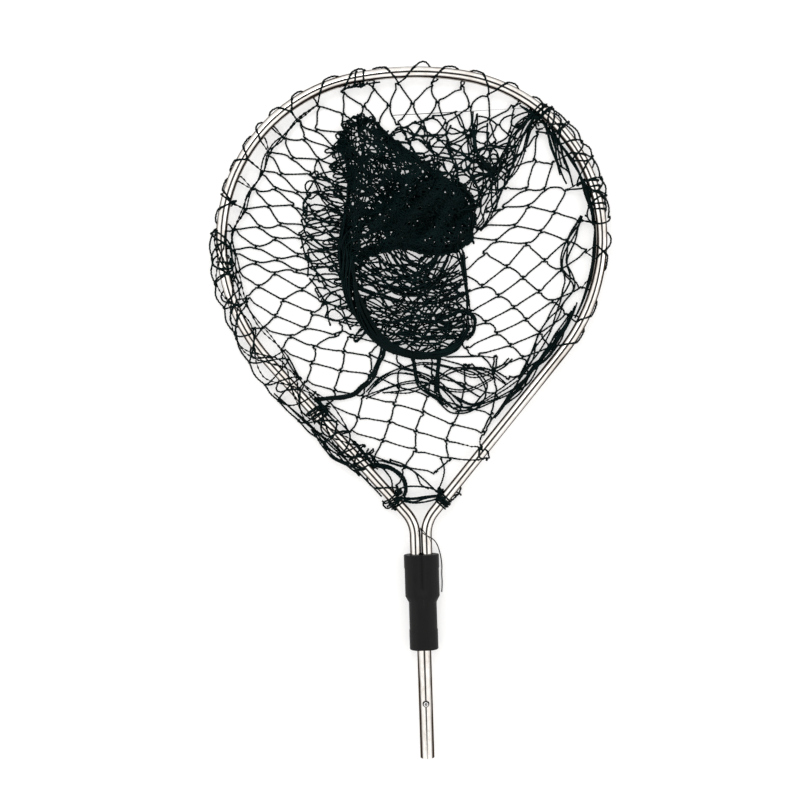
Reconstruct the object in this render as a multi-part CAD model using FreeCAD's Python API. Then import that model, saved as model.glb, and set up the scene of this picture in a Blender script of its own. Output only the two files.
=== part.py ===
"""Landing net with a teardrop tube hoop, a moulded yoke and a snap-in handle spigot.

The net lies on its back. X is across the hoop, +Y runs from the spigot to the far end of
the hoop, +Z is up and the surface it lies on is Z = 0. All lengths are in millimetres.
"""

import FreeCAD, Part
import math
import os

Vector = FreeCAD.Vector
X_AXIS = Vector(1, 0, 0)
Y_AXIS = Vector(0, 1, 0)
Z_AXIS = Vector(0, 0, 1)

# Hoop: one bent tube, symmetric about X = 0
OVERALL_LENGTH = 884.0
HOOP_WIDTH = 500.0
TUBE_RADIUS = 7.0
TUBE_WALL = 1.2
MID_Z = 12.5
TOP_RADIUS = 400.0
TOP_TURN = math.radians(10.0)
SIDE_RADIUS = 232.0
SIDE_TURN = math.radians(40.5)
NECK_RADIUS = 45.0
LEG_GAP = 0.3
LEG_END_MARGIN = 2.0

# Yoke: moulded block that joins the two hoop legs to the spigot
YOKE_TOP_Y = -183.0
YOKE_LENGTH = 121.0
YOKE_UPPER_LENGTH = 53.0
YOKE_TAPER_LENGTH = 8.0
YOKE_HALF_HEIGHT = 12.5
YOKE_UPPER_HALF_WIDTH = 22.0
YOKE_LOWER_HALF_WIDTH = 17.8
COLLAR_RISE = 0.5
UPPER_COLLAR_LENGTH = 17.0
LOWER_COLLAR_LENGTH = 25.0
YOKE_EDGE_FILLET = 1.2
VALLEY_DEPTH = 3.2
VALLEY_HALF_WIDTH = 5.0
VALLEY_LENGTH = 42.0
VALLEY_END_LENGTH = 11.0
VALLEY_END_HALF_WIDTH = 7.5
VALLEY_END_DEPTH = 0.3
SOCKET_CLEARANCE = 0.05
SOCKET_END_GAP = 0.5

# Spigot: straight tube that snaps into the pole
STUB_RADIUS = 9.0
STUB_WALL = 1.2
STUB_INSERTION = 55.0

# Cross pins that hold the legs and the spigot in the yoke
PIN_RADIUS = 1.5
PIN_CLEARANCE = 0.05
PIN_RECESS = 1.0
PIN_TOP_Z = 22.0
PIN_FILLET = 0.3
LEG_PIN_DEPTH = 32.0
STUB_PIN_DEPTH = 28.0

# Snap clip: bent spring strip inside the spigot, with the button on its free arm
BUTTON_FROM_END = 70.0
BUTTON_RADIUS = 3.25
BUTTON_HOLE_RADIUS = 4.4
BUTTON_STAND_OUT = 3.5
BUTTON_DOME = 1.6
STRIP_WIDTH = 6.0
STRIP_THICKNESS = 0.7
STRIP_GAP = 0.05
CLIP_BEND_RADIUS = 1.9
CLIP_ARM_LENGTH = 56.0
CLIP_PAD_HALF_LENGTH = 5.0
CLIP_PAD_TOP = 6.6
CLIP_EYE_CLEARANCE = 0.05

# Netting: knotted twine threaded on the hoop, lashed at intervals, the bag lying in a heap
TWINE_RADIUS = 1.0
TWINE_CLEARANCE = 0.15
RIM_SPACING = 30.0
RIM_HALF_SPAN = 745.0
LASHING_THICKNESS = 2.2
LASHING_FILLET = 0.9
LASHINGS = {
    "lashing_top_left": (-60.0, 13.0),
    "lashing_top_right": (184.0, 16.0),
    "lashing_right_inner": (297.0, 12.0),
    "lashing_right_outer": (326.0, 9.0),
    "lashing_left_upper": (-304.0, 10.0),
    "lashing_left_lower": (-387.0, 14.0),
    "lashing_bottom_left": (-618.0, 18.0),
    "lashing_neck_left": (-700.0, 24.0),
}
SKIRT_THICKNESS = 1.6
SKIRT_END_Y = -118.0
NECK_RUNS = 2
HEAP_BASE_Z = 1.9
HEAP_FILLET = 9.0
HEAPS = {
    "net_bunch": {"centre": (-10.0, 290.0), "half": (92.0, 84.0), "top": 31.0},
    "net_tail": {"centre": (-2.0, 135.0), "half": (74.0, 66.0), "top": 21.0},
}
BUNDLE_STATION = 601.0
BUNDLE_LENGTH = 118.0
BUNDLE_RADIUS = 6.0
BUNDLE_Z = 8.6
BUNDLE_END_SHARE = 0.8

# Twine strands gathered into cords, and the neck tie: centre-line points, then the radius
GATHERED_STRAND_RADIUS = 2.5
GATHERED_STRAND = (
    (-40.0, 76.5, 4.6),
    (-54.0, 47.0, 4.6),
    (-68.0, 32.0, 4.6),
    (-96.0, 20.5, 4.8),
    (-125.0, 18.5, 5.2),
)
NECK_STRAND_RADIUS = 1.8
NECK_STRAND = (
    (-53.0, -70.5, 7.0),
    (-44.0, -72.5, 4.6),
    (-30.0, -78.0, 4.2),
    (-20.0, -88.0, 5.5),
    (-17.0, -100.0, 9.5),
)
NECK_TIE_STATION = 769.0
NECK_TIE_LENGTH = 13.0
NECK_TIE_BAR_RADIUS = 1.6
NECK_TIE_BAR_SPREAD = 4.0

# Black string through the fork of the hoop, lying beside the yoke
STRING_RADIUS = 0.75
STRING = (
    (0.0, -150.0, 9.0),
    (0.0, -151.0, 16.5),
    (1.5, -154.5, 22.0),
    (8.0, -158.5, 23.6),
    (15.0, -162.5, 21.5),
    (19.5, -168.5, 15.0),
    (22.5, -176.5, 8.0),
    (25.0, -187.0, 3.0),
    (26.4, -199.0, 1.3),
    (25.6, -211.0, 0.95),
    (26.2, -223.0, 0.9),
    (25.0, -234.0, 0.95),
)
ARC_SHARE = 0.45

# Modelling allowances: how far a cutter runs past a face, and what counts as equal or straight
CUT_OVERRUN = 1.0
SAME_PLACE = 0.01
STRAIGHT_SHARE = 1e-6

RIM_STAND_OFF = TWINE_CLEARANCE + 2 * TWINE_RADIUS
APEX_Y = OVERALL_LENGTH / 2 - RIM_STAND_OFF - TUBE_RADIUS
STUB_END_Y = -OVERALL_LENGTH / 2
YOKE_BOTTOM_Y = YOKE_TOP_Y - YOKE_LENGTH
UPPER_END_Y = YOKE_TOP_Y - YOKE_UPPER_LENGTH
TAPER_END_Y = UPPER_END_Y - YOKE_TAPER_LENGTH
LEG_X = TUBE_RADIUS + LEG_GAP / 2
HALF_WIDTH = HOOP_WIDTH / 2 - TUBE_RADIUS
CORNER_RADIUS = (HALF_WIDTH - TOP_RADIUS * math.sin(TOP_TURN)) / (1 - math.sin(TOP_TURN))
BUTTON_Y = STUB_END_Y + BUTTON_FROM_END
STUB_BORE_RADIUS = STUB_RADIUS - STUB_WALL
STUB_TOP_Y = YOKE_BOTTOM_Y + STUB_INSERTION
LEG_END_Y = UPPER_END_Y + LEG_END_MARGIN


def hoop_runs():
    """One half of the hoop's centre line from the apex, as (length, radius turned to the right)."""
    straight = HALF_WIDTH - SIDE_RADIUS * (1 - math.cos(SIDE_TURN))
    straight -= LEG_X + NECK_RADIUS * (1 - math.cos(SIDE_TURN))
    straight /= math.sin(SIDE_TURN)
    runs = [
        (TOP_RADIUS * TOP_TURN, TOP_RADIUS),
        (CORNER_RADIUS * (math.pi / 2 - TOP_TURN), CORNER_RADIUS),
        (SIDE_RADIUS * SIDE_TURN, SIDE_RADIUS),
        (straight, None),
        (NECK_RADIUS * SIDE_TURN, -NECK_RADIUS),
    ]
    neck_end = walk(runs, sum(length for length, _ in runs))[0]
    return runs + [(neck_end.y - LEG_END_Y, None)]


def walk(runs, distance):
    """The point and direction at this distance from the apex along the half hoop."""
    point = Vector(0, APEX_Y, MID_Z)
    heading = 0.0
    for length, radius in runs:
        step = min(length, distance)
        turn = step / radius if radius else 0.0
        chord = 2 * radius * math.sin(turn / 2) if radius else step
        middle = heading - turn / 2
        point = point + Vector(math.cos(middle), math.sin(middle), 0) * chord
        heading -= turn
        distance -= step
        if distance <= 0:
            break
    return point, Vector(math.cos(heading), math.sin(heading), 0)


HOOP_RUNS = hoop_runs()


def hoop_station(station):
    """The point and direction on the hoop at a distance from the apex, negative to the left."""
    point, direction = walk(HOOP_RUNS, abs(station))
    if station < 0:
        return Vector(-point.x, point.y, point.z), Vector(direction.x, -direction.y, 0)
    return point, direction


def hoop_edges(run_limit, lift=0.0):
    """Edges along the hoop's centre line, from this distance left of the apex to the right."""
    right = []
    left = []
    done = 0.0
    for length, radius in HOOP_RUNS:
        end = min(done + length, run_limit)
        places = [walk(HOOP_RUNS, at)[0] for at in (done, (done + end) / 2, end)]
        places = [Vector(p.x, p.y, p.z + lift) for p in places]
        mirrored = [Vector(-p.x, p.y, p.z) for p in reversed(places)]
        right.append(edge_through(places, radius))
        left.append(edge_through(mirrored, radius))
        done = end
        if done >= run_limit:
            break
    return left[::-1] + right


def edge_through(places, bent):
    """An arc through three places, or the straight line from the first to the last."""
    if bent:
        return Part.Arc(*places).toShape()
    return Part.LineSegment(places[0], places[2]).toShape()


def rod_along(edges, start, direction, radius):
    """A solid round rod along a chain of tangent edges."""
    disc = Part.Face(Part.Wire(Part.makeCircle(radius, start, direction)))
    return Part.Wire(edges).makePipe(disc)


def rounded_route(points):
    """Straight runs joined by tangent arcs as edges, with the radius of each arc."""
    points = [Vector(*p) for p in points]
    edges = []
    radii = []
    last = points[0]
    for before, corner, after in zip(points, points[1:], points[2:]):
        into = (corner - before).normalize()
        out = (after - corner).normalize()
        cut = ARC_SHARE * min((corner - before).Length, (after - corner).Length)
        half_turn = into.getAngle(out) / 2
        radius = cut / math.tan(half_turn)
        arc_start = corner - into * cut
        arc_end = corner + out * cut
        toward_centre = (out - into).normalize()
        arc_middle = corner + toward_centre * radius * (1 / math.cos(half_turn) - 1)
        edges.append(Part.LineSegment(last, arc_start).toShape())
        edges.append(Part.Arc(arc_start, arc_middle, arc_end).toShape())
        radii.append(radius)
        last = arc_end
    edges.append(Part.LineSegment(last, points[-1]).toShape())
    return edges, radii


def cord_along(points, radius):
    """A solid round cord along rounded runs between the points."""
    edges, radii = rounded_route(points)
    direction = Vector(*points[1]) - Vector(*points[0])
    cord = rod_along(edges, Vector(*points[0]), direction, radius)
    return cord, sum(edge.Length for edge in edges), radii


def cylinder_z(radius, x, y, low, high):
    return Part.makeCylinder(radius, high - low, Vector(x, y, low), Z_AXIS)


def oval_wire(half_width, half_height, y):
    """A flat-topped oval across Y, made of two half circles and two flats."""
    centre_x = half_width - half_height
    low = MID_Z - half_height
    high = MID_Z + half_height
    right_low = Vector(centre_x, y, low)
    right_side = Vector(half_width, y, MID_Z)
    right_high = Vector(centre_x, y, high)
    left_low = Vector(-centre_x, y, low)
    left_side = Vector(-half_width, y, MID_Z)
    left_high = Vector(-centre_x, y, high)
    return Part.Wire(
        [
            Part.LineSegment(left_low, right_low).toShape(),
            Part.Arc(right_low, right_side, right_high).toShape(),
            Part.LineSegment(right_high, left_high).toShape(),
            Part.Arc(left_high, left_side, left_low).toShape(),
        ]
    )


def oval_block(half_width, half_height, start_y, end_y):
    face = Part.Face(oval_wire(half_width, half_height, start_y))
    return face.extrude(Vector(0, end_y - start_y, 0))


def valley_section(y, half_width, depth):
    top = MID_Z + YOKE_HALF_HEIGHT
    corners = [
        Vector(-half_width, y, top + depth),
        Vector(half_width, y, top + depth),
        Vector(half_width, y, top),
        Vector(0, y, top - depth),
        Vector(-half_width, y, top),
    ]
    return Part.makePolygon(corners + corners[:1])


def make_yoke():
    """Flattened oval block with end collars, a valley between the legs and blind sockets."""
    height = YOKE_HALF_HEIGHT
    upper = oval_block(YOKE_UPPER_HALF_WIDTH, height, UPPER_END_Y, YOKE_TOP_Y)
    lower = oval_block(YOKE_LOWER_HALF_WIDTH, height, YOKE_BOTTOM_Y, TAPER_END_Y)
    taper = Part.makeLoft(
        [
            oval_wire(YOKE_UPPER_HALF_WIDTH, height, UPPER_END_Y),
            oval_wire(YOKE_LOWER_HALF_WIDTH, height, TAPER_END_Y),
        ],
        True,
        True,
    )
    upper_collar = oval_block(
        YOKE_UPPER_HALF_WIDTH + COLLAR_RISE,
        height,
        YOKE_TOP_Y - UPPER_COLLAR_LENGTH,
        YOKE_TOP_Y,
    )
    lower_collar = oval_block(
        YOKE_LOWER_HALF_WIDTH + COLLAR_RISE,
        height,
        YOKE_BOTTOM_Y,
        YOKE_BOTTOM_Y + LOWER_COLLAR_LENGTH,
    )
    body = upper.multiFuse([lower, taper, upper_collar, lower_collar]).removeSplitter()
    end_edges = [
        edge
        for edge in body.Edges
        if edge.BoundBox.YLength < SAME_PLACE
        and min(abs(edge.BoundBox.YMax - y) for y in (YOKE_TOP_Y, YOKE_BOTTOM_Y)) < SAME_PLACE
    ]
    body = body.makeFillet(YOKE_EDGE_FILLET, end_edges)

    valley_end_y = YOKE_TOP_Y - VALLEY_LENGTH
    valley = Part.makeLoft(
        [
            valley_section(YOKE_TOP_Y + CUT_OVERRUN, VALLEY_HALF_WIDTH, VALLEY_DEPTH),
            valley_section(valley_end_y, VALLEY_HALF_WIDTH, VALLEY_DEPTH),
        ],
        True,
        True,
    )
    valley_end = Part.makeLoft(
        [
            valley_section(valley_end_y, VALLEY_HALF_WIDTH, VALLEY_DEPTH),
            valley_section(
                valley_end_y - VALLEY_END_LENGTH, VALLEY_END_HALF_WIDTH, VALLEY_END_DEPTH
            ),
        ],
        True,
        True,
    )
    socket_radius = TUBE_RADIUS + SOCKET_CLEARANCE
    leg_socket = oval_block(
        LEG_X + socket_radius,
        socket_radius,
        LEG_END_Y - SOCKET_END_GAP,
        YOKE_TOP_Y + CUT_OVERRUN,
    )
    stub_socket = Part.makeCylinder(
        STUB_RADIUS + SOCKET_CLEARANCE,
        STUB_INSERTION + CUT_OVERRUN + SOCKET_END_GAP,
        Vector(0, YOKE_BOTTOM_Y - CUT_OVERRUN, MID_Z),
        Y_AXIS,
    )
    holes = [
        cylinder_z(PIN_RADIUS + PIN_CLEARANCE, x, y, -CUT_OVERRUN, PIN_TOP_Z + PIN_CLEARANCE)
        for x, y in pin_places()
    ]
    return body.cut([valley, valley_end, leg_socket, stub_socket] + holes)


def pin_places():
    leg_y = YOKE_TOP_Y - LEG_PIN_DEPTH
    stub_y = YOKE_BOTTOM_Y + STUB_PIN_DEPTH
    return [(-LEG_X, leg_y), (LEG_X, leg_y), (0.0, stub_y)]


def make_pin(x, y):
    pin = cylinder_z(PIN_RADIUS, x, y, PIN_RECESS, PIN_TOP_Z)
    ends = [e for e in pin.Edges if e.BoundBox.ZLength < SAME_PLACE]
    return pin.makeFillet(PIN_FILLET, ends)


def make_hoop():
    """The bent hoop tube with its two legs side by side."""
    edges = hoop_edges(sum(length for length, _ in HOOP_RUNS))
    start = Vector(-LEG_X, LEG_END_Y, MID_Z)
    tube = rod_along(edges, start, Y_AXIS, TUBE_RADIUS)
    tube = tube.cut(rod_along(edges, start, Y_AXIS, TUBE_RADIUS - TUBE_WALL))
    holes = [
        cylinder_z(PIN_RADIUS + PIN_CLEARANCE, x, y, 0, 2 * MID_Z)
        for x, y in pin_places()[:2]
    ]
    return tube.cut(holes)


def make_stub():
    """The spigot tube with its button hole and pin holes."""
    length = STUB_TOP_Y - STUB_END_Y
    start = Vector(0, STUB_END_Y, MID_Z)
    outside = Part.makeCylinder(STUB_RADIUS, length, start, Y_AXIS)
    bore = Part.makeCylinder(STUB_BORE_RADIUS, length, start, Y_AXIS)
    button_hole = cylinder_z(BUTTON_HOLE_RADIUS, 0, BUTTON_Y, MID_Z, MID_Z + 2 * STUB_RADIUS)
    x, y = pin_places()[2]
    pin_hole = cylinder_z(PIN_RADIUS + PIN_CLEARANCE, x, y, 0, 2 * MID_Z)
    return outside.cut([bore, button_hole, pin_hole])


def clip_strip(start, end):
    """A flat strip between two points in the middle plane, both on its lower face."""
    along = (end - start).normalize()
    up = X_AXIS.cross(along)
    if up.z < 0:
        up = up * -1
    side = X_AXIS * (STRIP_WIDTH / 2)
    lift = up * STRIP_THICKNESS
    corners = [start - side, end - side, end - side + lift, start - side + lift]
    face = Part.Face(Part.makePolygon(corners + corners[:1]))
    return face.extrude(side * 2)


def clip_places():
    """The height of the fixed leg's lower face, and the middle of the bend."""
    half_strip = STRIP_WIDTH / 2
    bore_height = math.sqrt(STUB_BORE_RADIUS**2 - half_strip**2)
    base_z = MID_Z - bore_height + STRIP_GAP
    return base_z, Vector(0, BUTTON_Y + CLIP_ARM_LENGTH, base_z + CLIP_BEND_RADIUS)


def across(radius, centre):
    start = centre - X_AXIS * (STRIP_WIDTH / 2)
    return Part.makeCylinder(radius, STRIP_WIDTH, start, X_AXIS)


def make_clip_base():
    """The leg of the clip that lies in the spigot, with the round bend at its inner end."""
    base_z, bend = clip_places()
    foot = Vector(0, bend.y, base_z)
    toe = Vector(0, BUTTON_Y - CLIP_PAD_HALF_LENGTH, base_z)
    leg = clip_strip(foot, toe)
    ring = across(CLIP_BEND_RADIUS, bend).cut(
        across(CLIP_BEND_RADIUS - STRIP_THICKNESS, bend)
    )
    reach = CLIP_BEND_RADIUS + CUT_OVERRUN
    open_side = Part.makeBox(
        2 * STRIP_WIDTH, reach, 2 * reach, bend - Vector(STRIP_WIDTH, reach, reach)
    )
    return leg.fuse(ring.cut(open_side)).removeSplitter()


def make_clip_arm():
    """The free arm of the clip: an eye in the bend, a sloping run and a flat pad."""
    _, bend = clip_places()
    eye_radius = CLIP_BEND_RADIUS - STRIP_THICKNESS - CLIP_EYE_CLEARANCE
    eye = across(eye_radius, bend)
    pad_z = MID_Z + CLIP_PAD_TOP - STRIP_THICKNESS
    pad_start = Vector(0, BUTTON_Y + CLIP_PAD_HALF_LENGTH, pad_z)
    pad_end = Vector(0, BUTTON_Y - CLIP_PAD_HALF_LENGTH, pad_z)
    run_start = bend - Z_AXIS * (STRIP_THICKNESS / 2)
    overlap = Vector(0, STRIP_THICKNESS / 4, 0)
    run = clip_strip(run_start, pad_start - overlap)
    pad = clip_strip(pad_start, pad_end)
    return eye.fuse([run, pad]).removeSplitter()


def make_button():
    """The domed button that stands on the clip's pad and through the spigot's wall."""
    low = MID_Z + CLIP_PAD_TOP
    high = MID_Z + STUB_RADIUS + BUTTON_STAND_OUT
    button = cylinder_z(BUTTON_RADIUS, 0, BUTTON_Y, low, high)
    rim = [e for e in button.Edges if e.BoundBox.ZMin > high - SAME_PLACE]
    return button.makeFillet(BUTTON_DOME, rim)


def make_lashing(station, length):
    """A wrap of twine round the hoop tube, as one thick sleeve with rounded ends."""
    point, direction = hoop_station(station)
    start = point - direction * (length / 2)
    inner = TUBE_RADIUS + TWINE_CLEARANCE
    outer = inner + LASHING_THICKNESS
    sleeve = Part.makeCylinder(outer, length, start, direction)
    rims = [e for e in sleeve.Edges if e.Closed]
    sleeve = sleeve.makeFillet(LASHING_FILLET, rims)
    return sleeve.cut(hoop_clearance(station, length))


def hoop_clearance(station, length):
    """The hoop tube with the twine's clearance, over a stretch round the station."""
    side = 1 if station >= 0 else -1
    middle = abs(station)
    places = [middle - length, middle, middle + length]
    points = [walk(HOOP_RUNS, at)[0] for at in places]
    points = [Vector(side * p.x, p.y, p.z) for p in points]
    first, second, third = points
    bend = (second - first).cross(third - second).Length
    bent = bend > STRAIGHT_SHARE * length**2
    edge = edge_through(points, bent)
    start = edge.tangentAt(edge.FirstParameter)
    return rod_along([edge], first, start, TUBE_RADIUS + TWINE_CLEARANCE)


def rim_stations():
    """Evenly spaced places of the threaded meshes, leaving out those under a lashing."""
    count = int(RIM_HALF_SPAN // RIM_SPACING)
    places = []
    for index in range(-count, count + 1):
        station = index * RIM_SPACING
        clear = all(
            abs(station - at) > length / 2 + 2 * TWINE_RADIUS
            for at, length in LASHINGS.values()
        )
        if clear:
            places.append(station)
    return places


def make_rim_meshes():
    """The row of twine turns that threads the netting on the hoop, as separate rings."""
    ring_radius = TUBE_RADIUS + TWINE_CLEARANCE + TWINE_RADIUS
    rings = []
    for station in rim_stations():
        point, direction = hoop_station(station)
        rings.append(Part.makeTorus(ring_radius, TWINE_RADIUS, point, direction))
    return Part.makeCompound(rings)


def make_skirt():
    """The flat part of the netting, as a thin sheet under the whole mouth of the hoop."""
    neck_start = sum(length for length, _ in HOOP_RUNS[:-NECK_RUNS])
    straight_end, _ = walk(HOOP_RUNS, neck_start)
    limit = neck_start - (SKIRT_END_Y - straight_end.y) / math.cos(SIDE_TURN)
    corner, _ = walk(HOOP_RUNS, limit)
    closing = Part.LineSegment(
        Vector(corner.x, corner.y, 0), Vector(-corner.x, corner.y, 0)
    ).toShape()
    outline = Part.Wire(hoop_edges(limit, -MID_Z) + [closing])
    return Part.Face(outline).extrude(Vector(0, 0, SKIRT_THICKNESS))


def make_heap(centre, half, top):
    """A low oval mound of bunched netting with a rounded top edge."""
    x, y = centre
    half_x, half_y = half
    if half_x >= half_y:
        oval = Part.Ellipse(Vector(x, y, HEAP_BASE_Z), half_x, half_y)
    else:
        oval = Part.Ellipse(
            Vector(x, y + half_y, HEAP_BASE_Z),
            Vector(x + half_x, y, HEAP_BASE_Z),
            Vector(x, y, HEAP_BASE_Z),
        )
    face = Part.Face(Part.Wire(oval.toShape()))
    mound = face.extrude(Vector(0, 0, top - HEAP_BASE_Z))
    rim = [e for e in mound.Edges if e.BoundBox.ZMin > top - SAME_PLACE]
    return mound.makeFillet(HEAP_FILLET, rim)


def make_bundle():
    """Netting bundled along the inside of the hoop's right side."""
    point, direction = hoop_station(BUNDLE_STATION)
    inward = direction.cross(Z_AXIS)
    gap = TUBE_RADIUS + RIM_STAND_OFF + TWINE_CLEARANCE + BUNDLE_RADIUS
    centre = point + inward * gap
    start = centre - direction * (BUNDLE_LENGTH / 2)
    start.z = BUNDLE_Z
    bundle = Part.makeCylinder(BUNDLE_RADIUS, BUNDLE_LENGTH, start, direction)
    rims = [e for e in bundle.Edges if e.Closed]
    return bundle.makeFillet(BUNDLE_RADIUS * BUNDLE_END_SHARE, rims)


def make_neck_tie():
    """Twine wound round each leg of the hoop, with two turns across between the legs."""
    wraps = [
        make_lashing(side * NECK_TIE_STATION, NECK_TIE_LENGTH) for side in (-1, 1)
    ]
    point, direction = hoop_station(NECK_TIE_STATION)
    inner_side = point + direction.cross(Z_AXIS) * (TUBE_RADIUS + TWINE_CLEARANCE)
    bars = []
    for offset in (-NECK_TIE_BAR_SPREAD / 2, NECK_TIE_BAR_SPREAD / 2):
        start = Vector(-inner_side.x, inner_side.y + offset, point.z)
        bar = Part.makeCylinder(NECK_TIE_BAR_RADIUS, 2 * inner_side.x, start, X_AXIS)
        bars.append(bar)
    tunnels = [
        hoop_clearance(side * NECK_TIE_STATION, 2 * NECK_TIE_LENGTH) for side in (-1, 1)
    ]
    tie = wraps[0].fuse([wraps[1]] + bars)
    tie = tie.cut(tunnels)
    return tie


def check_solid(name, shape, solids=1):
    if not shape.isValid() or len(shape.Solids) != solids:
        raise ValueError(f"{name}: {len(shape.Solids)} solids, valid {shape.isValid()}")
    return shape


def make_parts():
    pins = [make_pin(x, y) for x, y in pin_places()]
    parts = {
        "hoop_tube": make_hoop(),
        "yoke": make_yoke(),
        "spigot_tube": make_stub(),
        "leg_pin_left": pins[0],
        "leg_pin_right": pins[1],
        "spigot_pin": pins[2],
        "clip_base": make_clip_base(),
        "clip_arm": make_clip_arm(),
        "snap_button": make_button(),
        "neck_tie": make_neck_tie(),
        "net_skirt": make_skirt(),
        "right_bundle": make_bundle(),
    }
    for name, (station, length) in LASHINGS.items():
        parts[name] = make_lashing(station, length)
    for name, heap in HEAPS.items():
        parts[name] = make_heap(**heap)
    cords = {
        "gathered_strand": (GATHERED_STRAND, GATHERED_STRAND_RADIUS),
        "neck_strand": (NECK_STRAND, NECK_STRAND_RADIUS),
        "fork_string": (STRING, STRING_RADIUS),
    }
    for name, (points, radius) in cords.items():
        cord, length, radii = cord_along(points, radius)
        parts[name] = cord
        share = cord.Volume / (math.pi * radius**2 * length)
        print(name, "length", round(length, 1), "volume share", round(share, 4))
        print("  bend radii", [round(r, 1) for r in radii])
    for name, shape in parts.items():
        check_solid(name, shape)
    rims = make_rim_meshes()
    parts["rim_meshes"] = check_solid("rim_meshes", rims, len(rim_stations()))
    return parts


os.makedirs("parts", exist_ok=True)
for part_name, part_shape in make_parts().items():
    part_shape.exportStep(os.path.join("parts", part_name + ".step"))
    print(part_name, part_shape.BoundBox)
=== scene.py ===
"""Looks of the landing net: twine netting, lashings, polished tubes, moulded yoke and string.

Layout lengths are millimetres in the frame's own axes: X across the hoop, +Y from the spigot to the
far end of the hoop, +Z up. A station is a distance along the hoop's centre line from its apex,
negative to the left. An offset is a distance from that line, positive towards the inside of the
hoop. Meshes are made in metres.
"""

import math

import bpy
import numpy as np
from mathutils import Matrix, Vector


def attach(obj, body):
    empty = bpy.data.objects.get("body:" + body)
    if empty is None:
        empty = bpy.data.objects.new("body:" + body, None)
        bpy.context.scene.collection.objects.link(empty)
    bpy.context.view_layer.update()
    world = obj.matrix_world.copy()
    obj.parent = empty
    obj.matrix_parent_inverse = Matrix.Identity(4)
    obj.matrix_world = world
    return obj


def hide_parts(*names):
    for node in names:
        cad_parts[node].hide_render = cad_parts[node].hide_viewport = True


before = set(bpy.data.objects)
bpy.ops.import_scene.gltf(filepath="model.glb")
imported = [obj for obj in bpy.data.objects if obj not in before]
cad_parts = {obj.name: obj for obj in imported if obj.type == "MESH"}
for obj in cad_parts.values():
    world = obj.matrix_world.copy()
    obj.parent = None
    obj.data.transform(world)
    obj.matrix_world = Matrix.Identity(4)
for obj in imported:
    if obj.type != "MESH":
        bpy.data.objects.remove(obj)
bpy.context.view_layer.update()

MM = 0.001
FULL_TURN = 2 * math.pi

# Hoop: half of its centre line is three arcs, a straight, the bend at the neck and a leg
APEX_Y = 432.85
HALF_WIDTH = 243.0
TOP_RADIUS = 400.0
TOP_TURN = math.radians(10.0)
SIDE_RADIUS = 232.0
SIDE_TURN = math.radians(40.5)
NECK_RADIUS = 45.0
LEG_X = 7.15
LEG_LENGTH = 75.0
MID_Z = 12.5

# Twine: its radius, the length of a mesh's bar and how far from the tube's axis it lies on the tube
TWINE = 1.25
BAR = 31.0
ON_TUBE = 8.3
TUBE_SIDE = 8.0
EDGE_Z = 5.0
LEAST_Z = 1.1
TOP_Z = 29.4


def heading(angle):
    """Unit vector in the plane, at an angle from +X."""
    return np.array([math.cos(angle), math.sin(angle)])


def hoop_runs():
    """Lengths and radii of half the hoop's runs from the apex; a straight has radius 0."""
    corner = (HALF_WIDTH - TOP_RADIUS * math.sin(TOP_TURN)) / (1 - math.sin(TOP_TURN))
    bends = (SIDE_RADIUS + NECK_RADIUS) * (1 - math.cos(SIDE_TURN))
    straight = (HALF_WIDTH - LEG_X - bends) / math.sin(SIDE_TURN)
    return [(TOP_RADIUS * TOP_TURN, TOP_RADIUS), (corner * (math.pi / 2 - TOP_TURN), corner),
            (SIDE_RADIUS * SIDE_TURN, SIDE_RADIUS), (straight, 0.0),
            (NECK_RADIUS * SIDE_TURN, -NECK_RADIUS), (LEG_LENGTH, 0.0)]


HOOP_RUNS = hoop_runs()


def hoop_at(station):
    """Centre-line point and direction of the hoop at a station."""
    left = abs(station)
    x, y, turned = 0.0, APEX_Y, 0.0
    for length, radius in HOOP_RUNS:
        step = min(length, left)
        turn = step / radius if radius else 0.0
        chord = 2 * radius * math.sin(turn / 2) if radius else step
        x += chord * math.cos(turned - turn / 2)
        y += chord * math.sin(turned - turn / 2)
        turned -= turn
        left -= step
        if left <= 0:
            break
    dx, dy = math.cos(turned), math.sin(turned)
    if station < 0:
        return np.array([-x, y]), np.array([dx, -dy])
    return np.array([x, y]), np.array([dx, dy])


def inward(station):
    """Unit vector from the hoop's centre line to its inside."""
    direction = hoop_at(station)[1]
    return np.array([direction[1], -direction[0]])


def beside(station, offset):
    """A place beside the hoop."""
    return hoop_at(station)[0] + inward(station) * offset


def riding(offset):
    """Height of a strand laid over the tube, by its offset."""
    if abs(offset) < TUBE_SIDE:
        return MID_Z + math.sqrt(ON_TUBE ** 2 - offset ** 2)
    return max(EDGE_Z, MID_Z + 2.2 - (abs(offset) - TUBE_SIDE) * 0.7)


def look_up(table, x):
    """Values of a table's columns at x, between its rows; the first column is x."""
    rows = np.array(table, float)
    return np.stack([np.interp(x, rows[:, 0], column) for column in rows[:, 1:].T], -1)


def spread_over(values, count):
    """Values at even steps, stretched over this many points."""
    return np.interp(np.linspace(0, 1, count), np.linspace(0, 1, len(values)), values)


def smooth_noise(rng, n, scale, amount, dims=2):
    """Slowly varying random offsets along a line of n points."""
    m = max(4, int(n / scale) + 3)
    knots = rng.normal(0, amount, (m, dims))
    t = np.linspace(0, m - 1.001, n)
    i = t.astype(int)
    f = (t - i)[:, None]
    f = f * f * (3 - 2 * f)
    return knots[i] * (1 - f) + knots[np.minimum(i + 1, m - 1)] * f


def catmull(points, per):
    """A smooth line through the points, with this many steps between two of them."""
    p = np.array(points, float)
    p = np.vstack([2 * p[0] - p[1], p, 2 * p[-1] - p[-2]])
    out = []
    for a, b, c, d in zip(p, p[1:], p[2:], p[3:]):
        for t in np.arange(per) / per:
            out.append(0.5 * (2 * b + (c - a) * t + (2 * a - 5 * b + 4 * c - d) * t * t
                              + (3 * b - 3 * c + d - a) * t ** 3))
    out.append(p[-2])
    return np.array(out)


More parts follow.
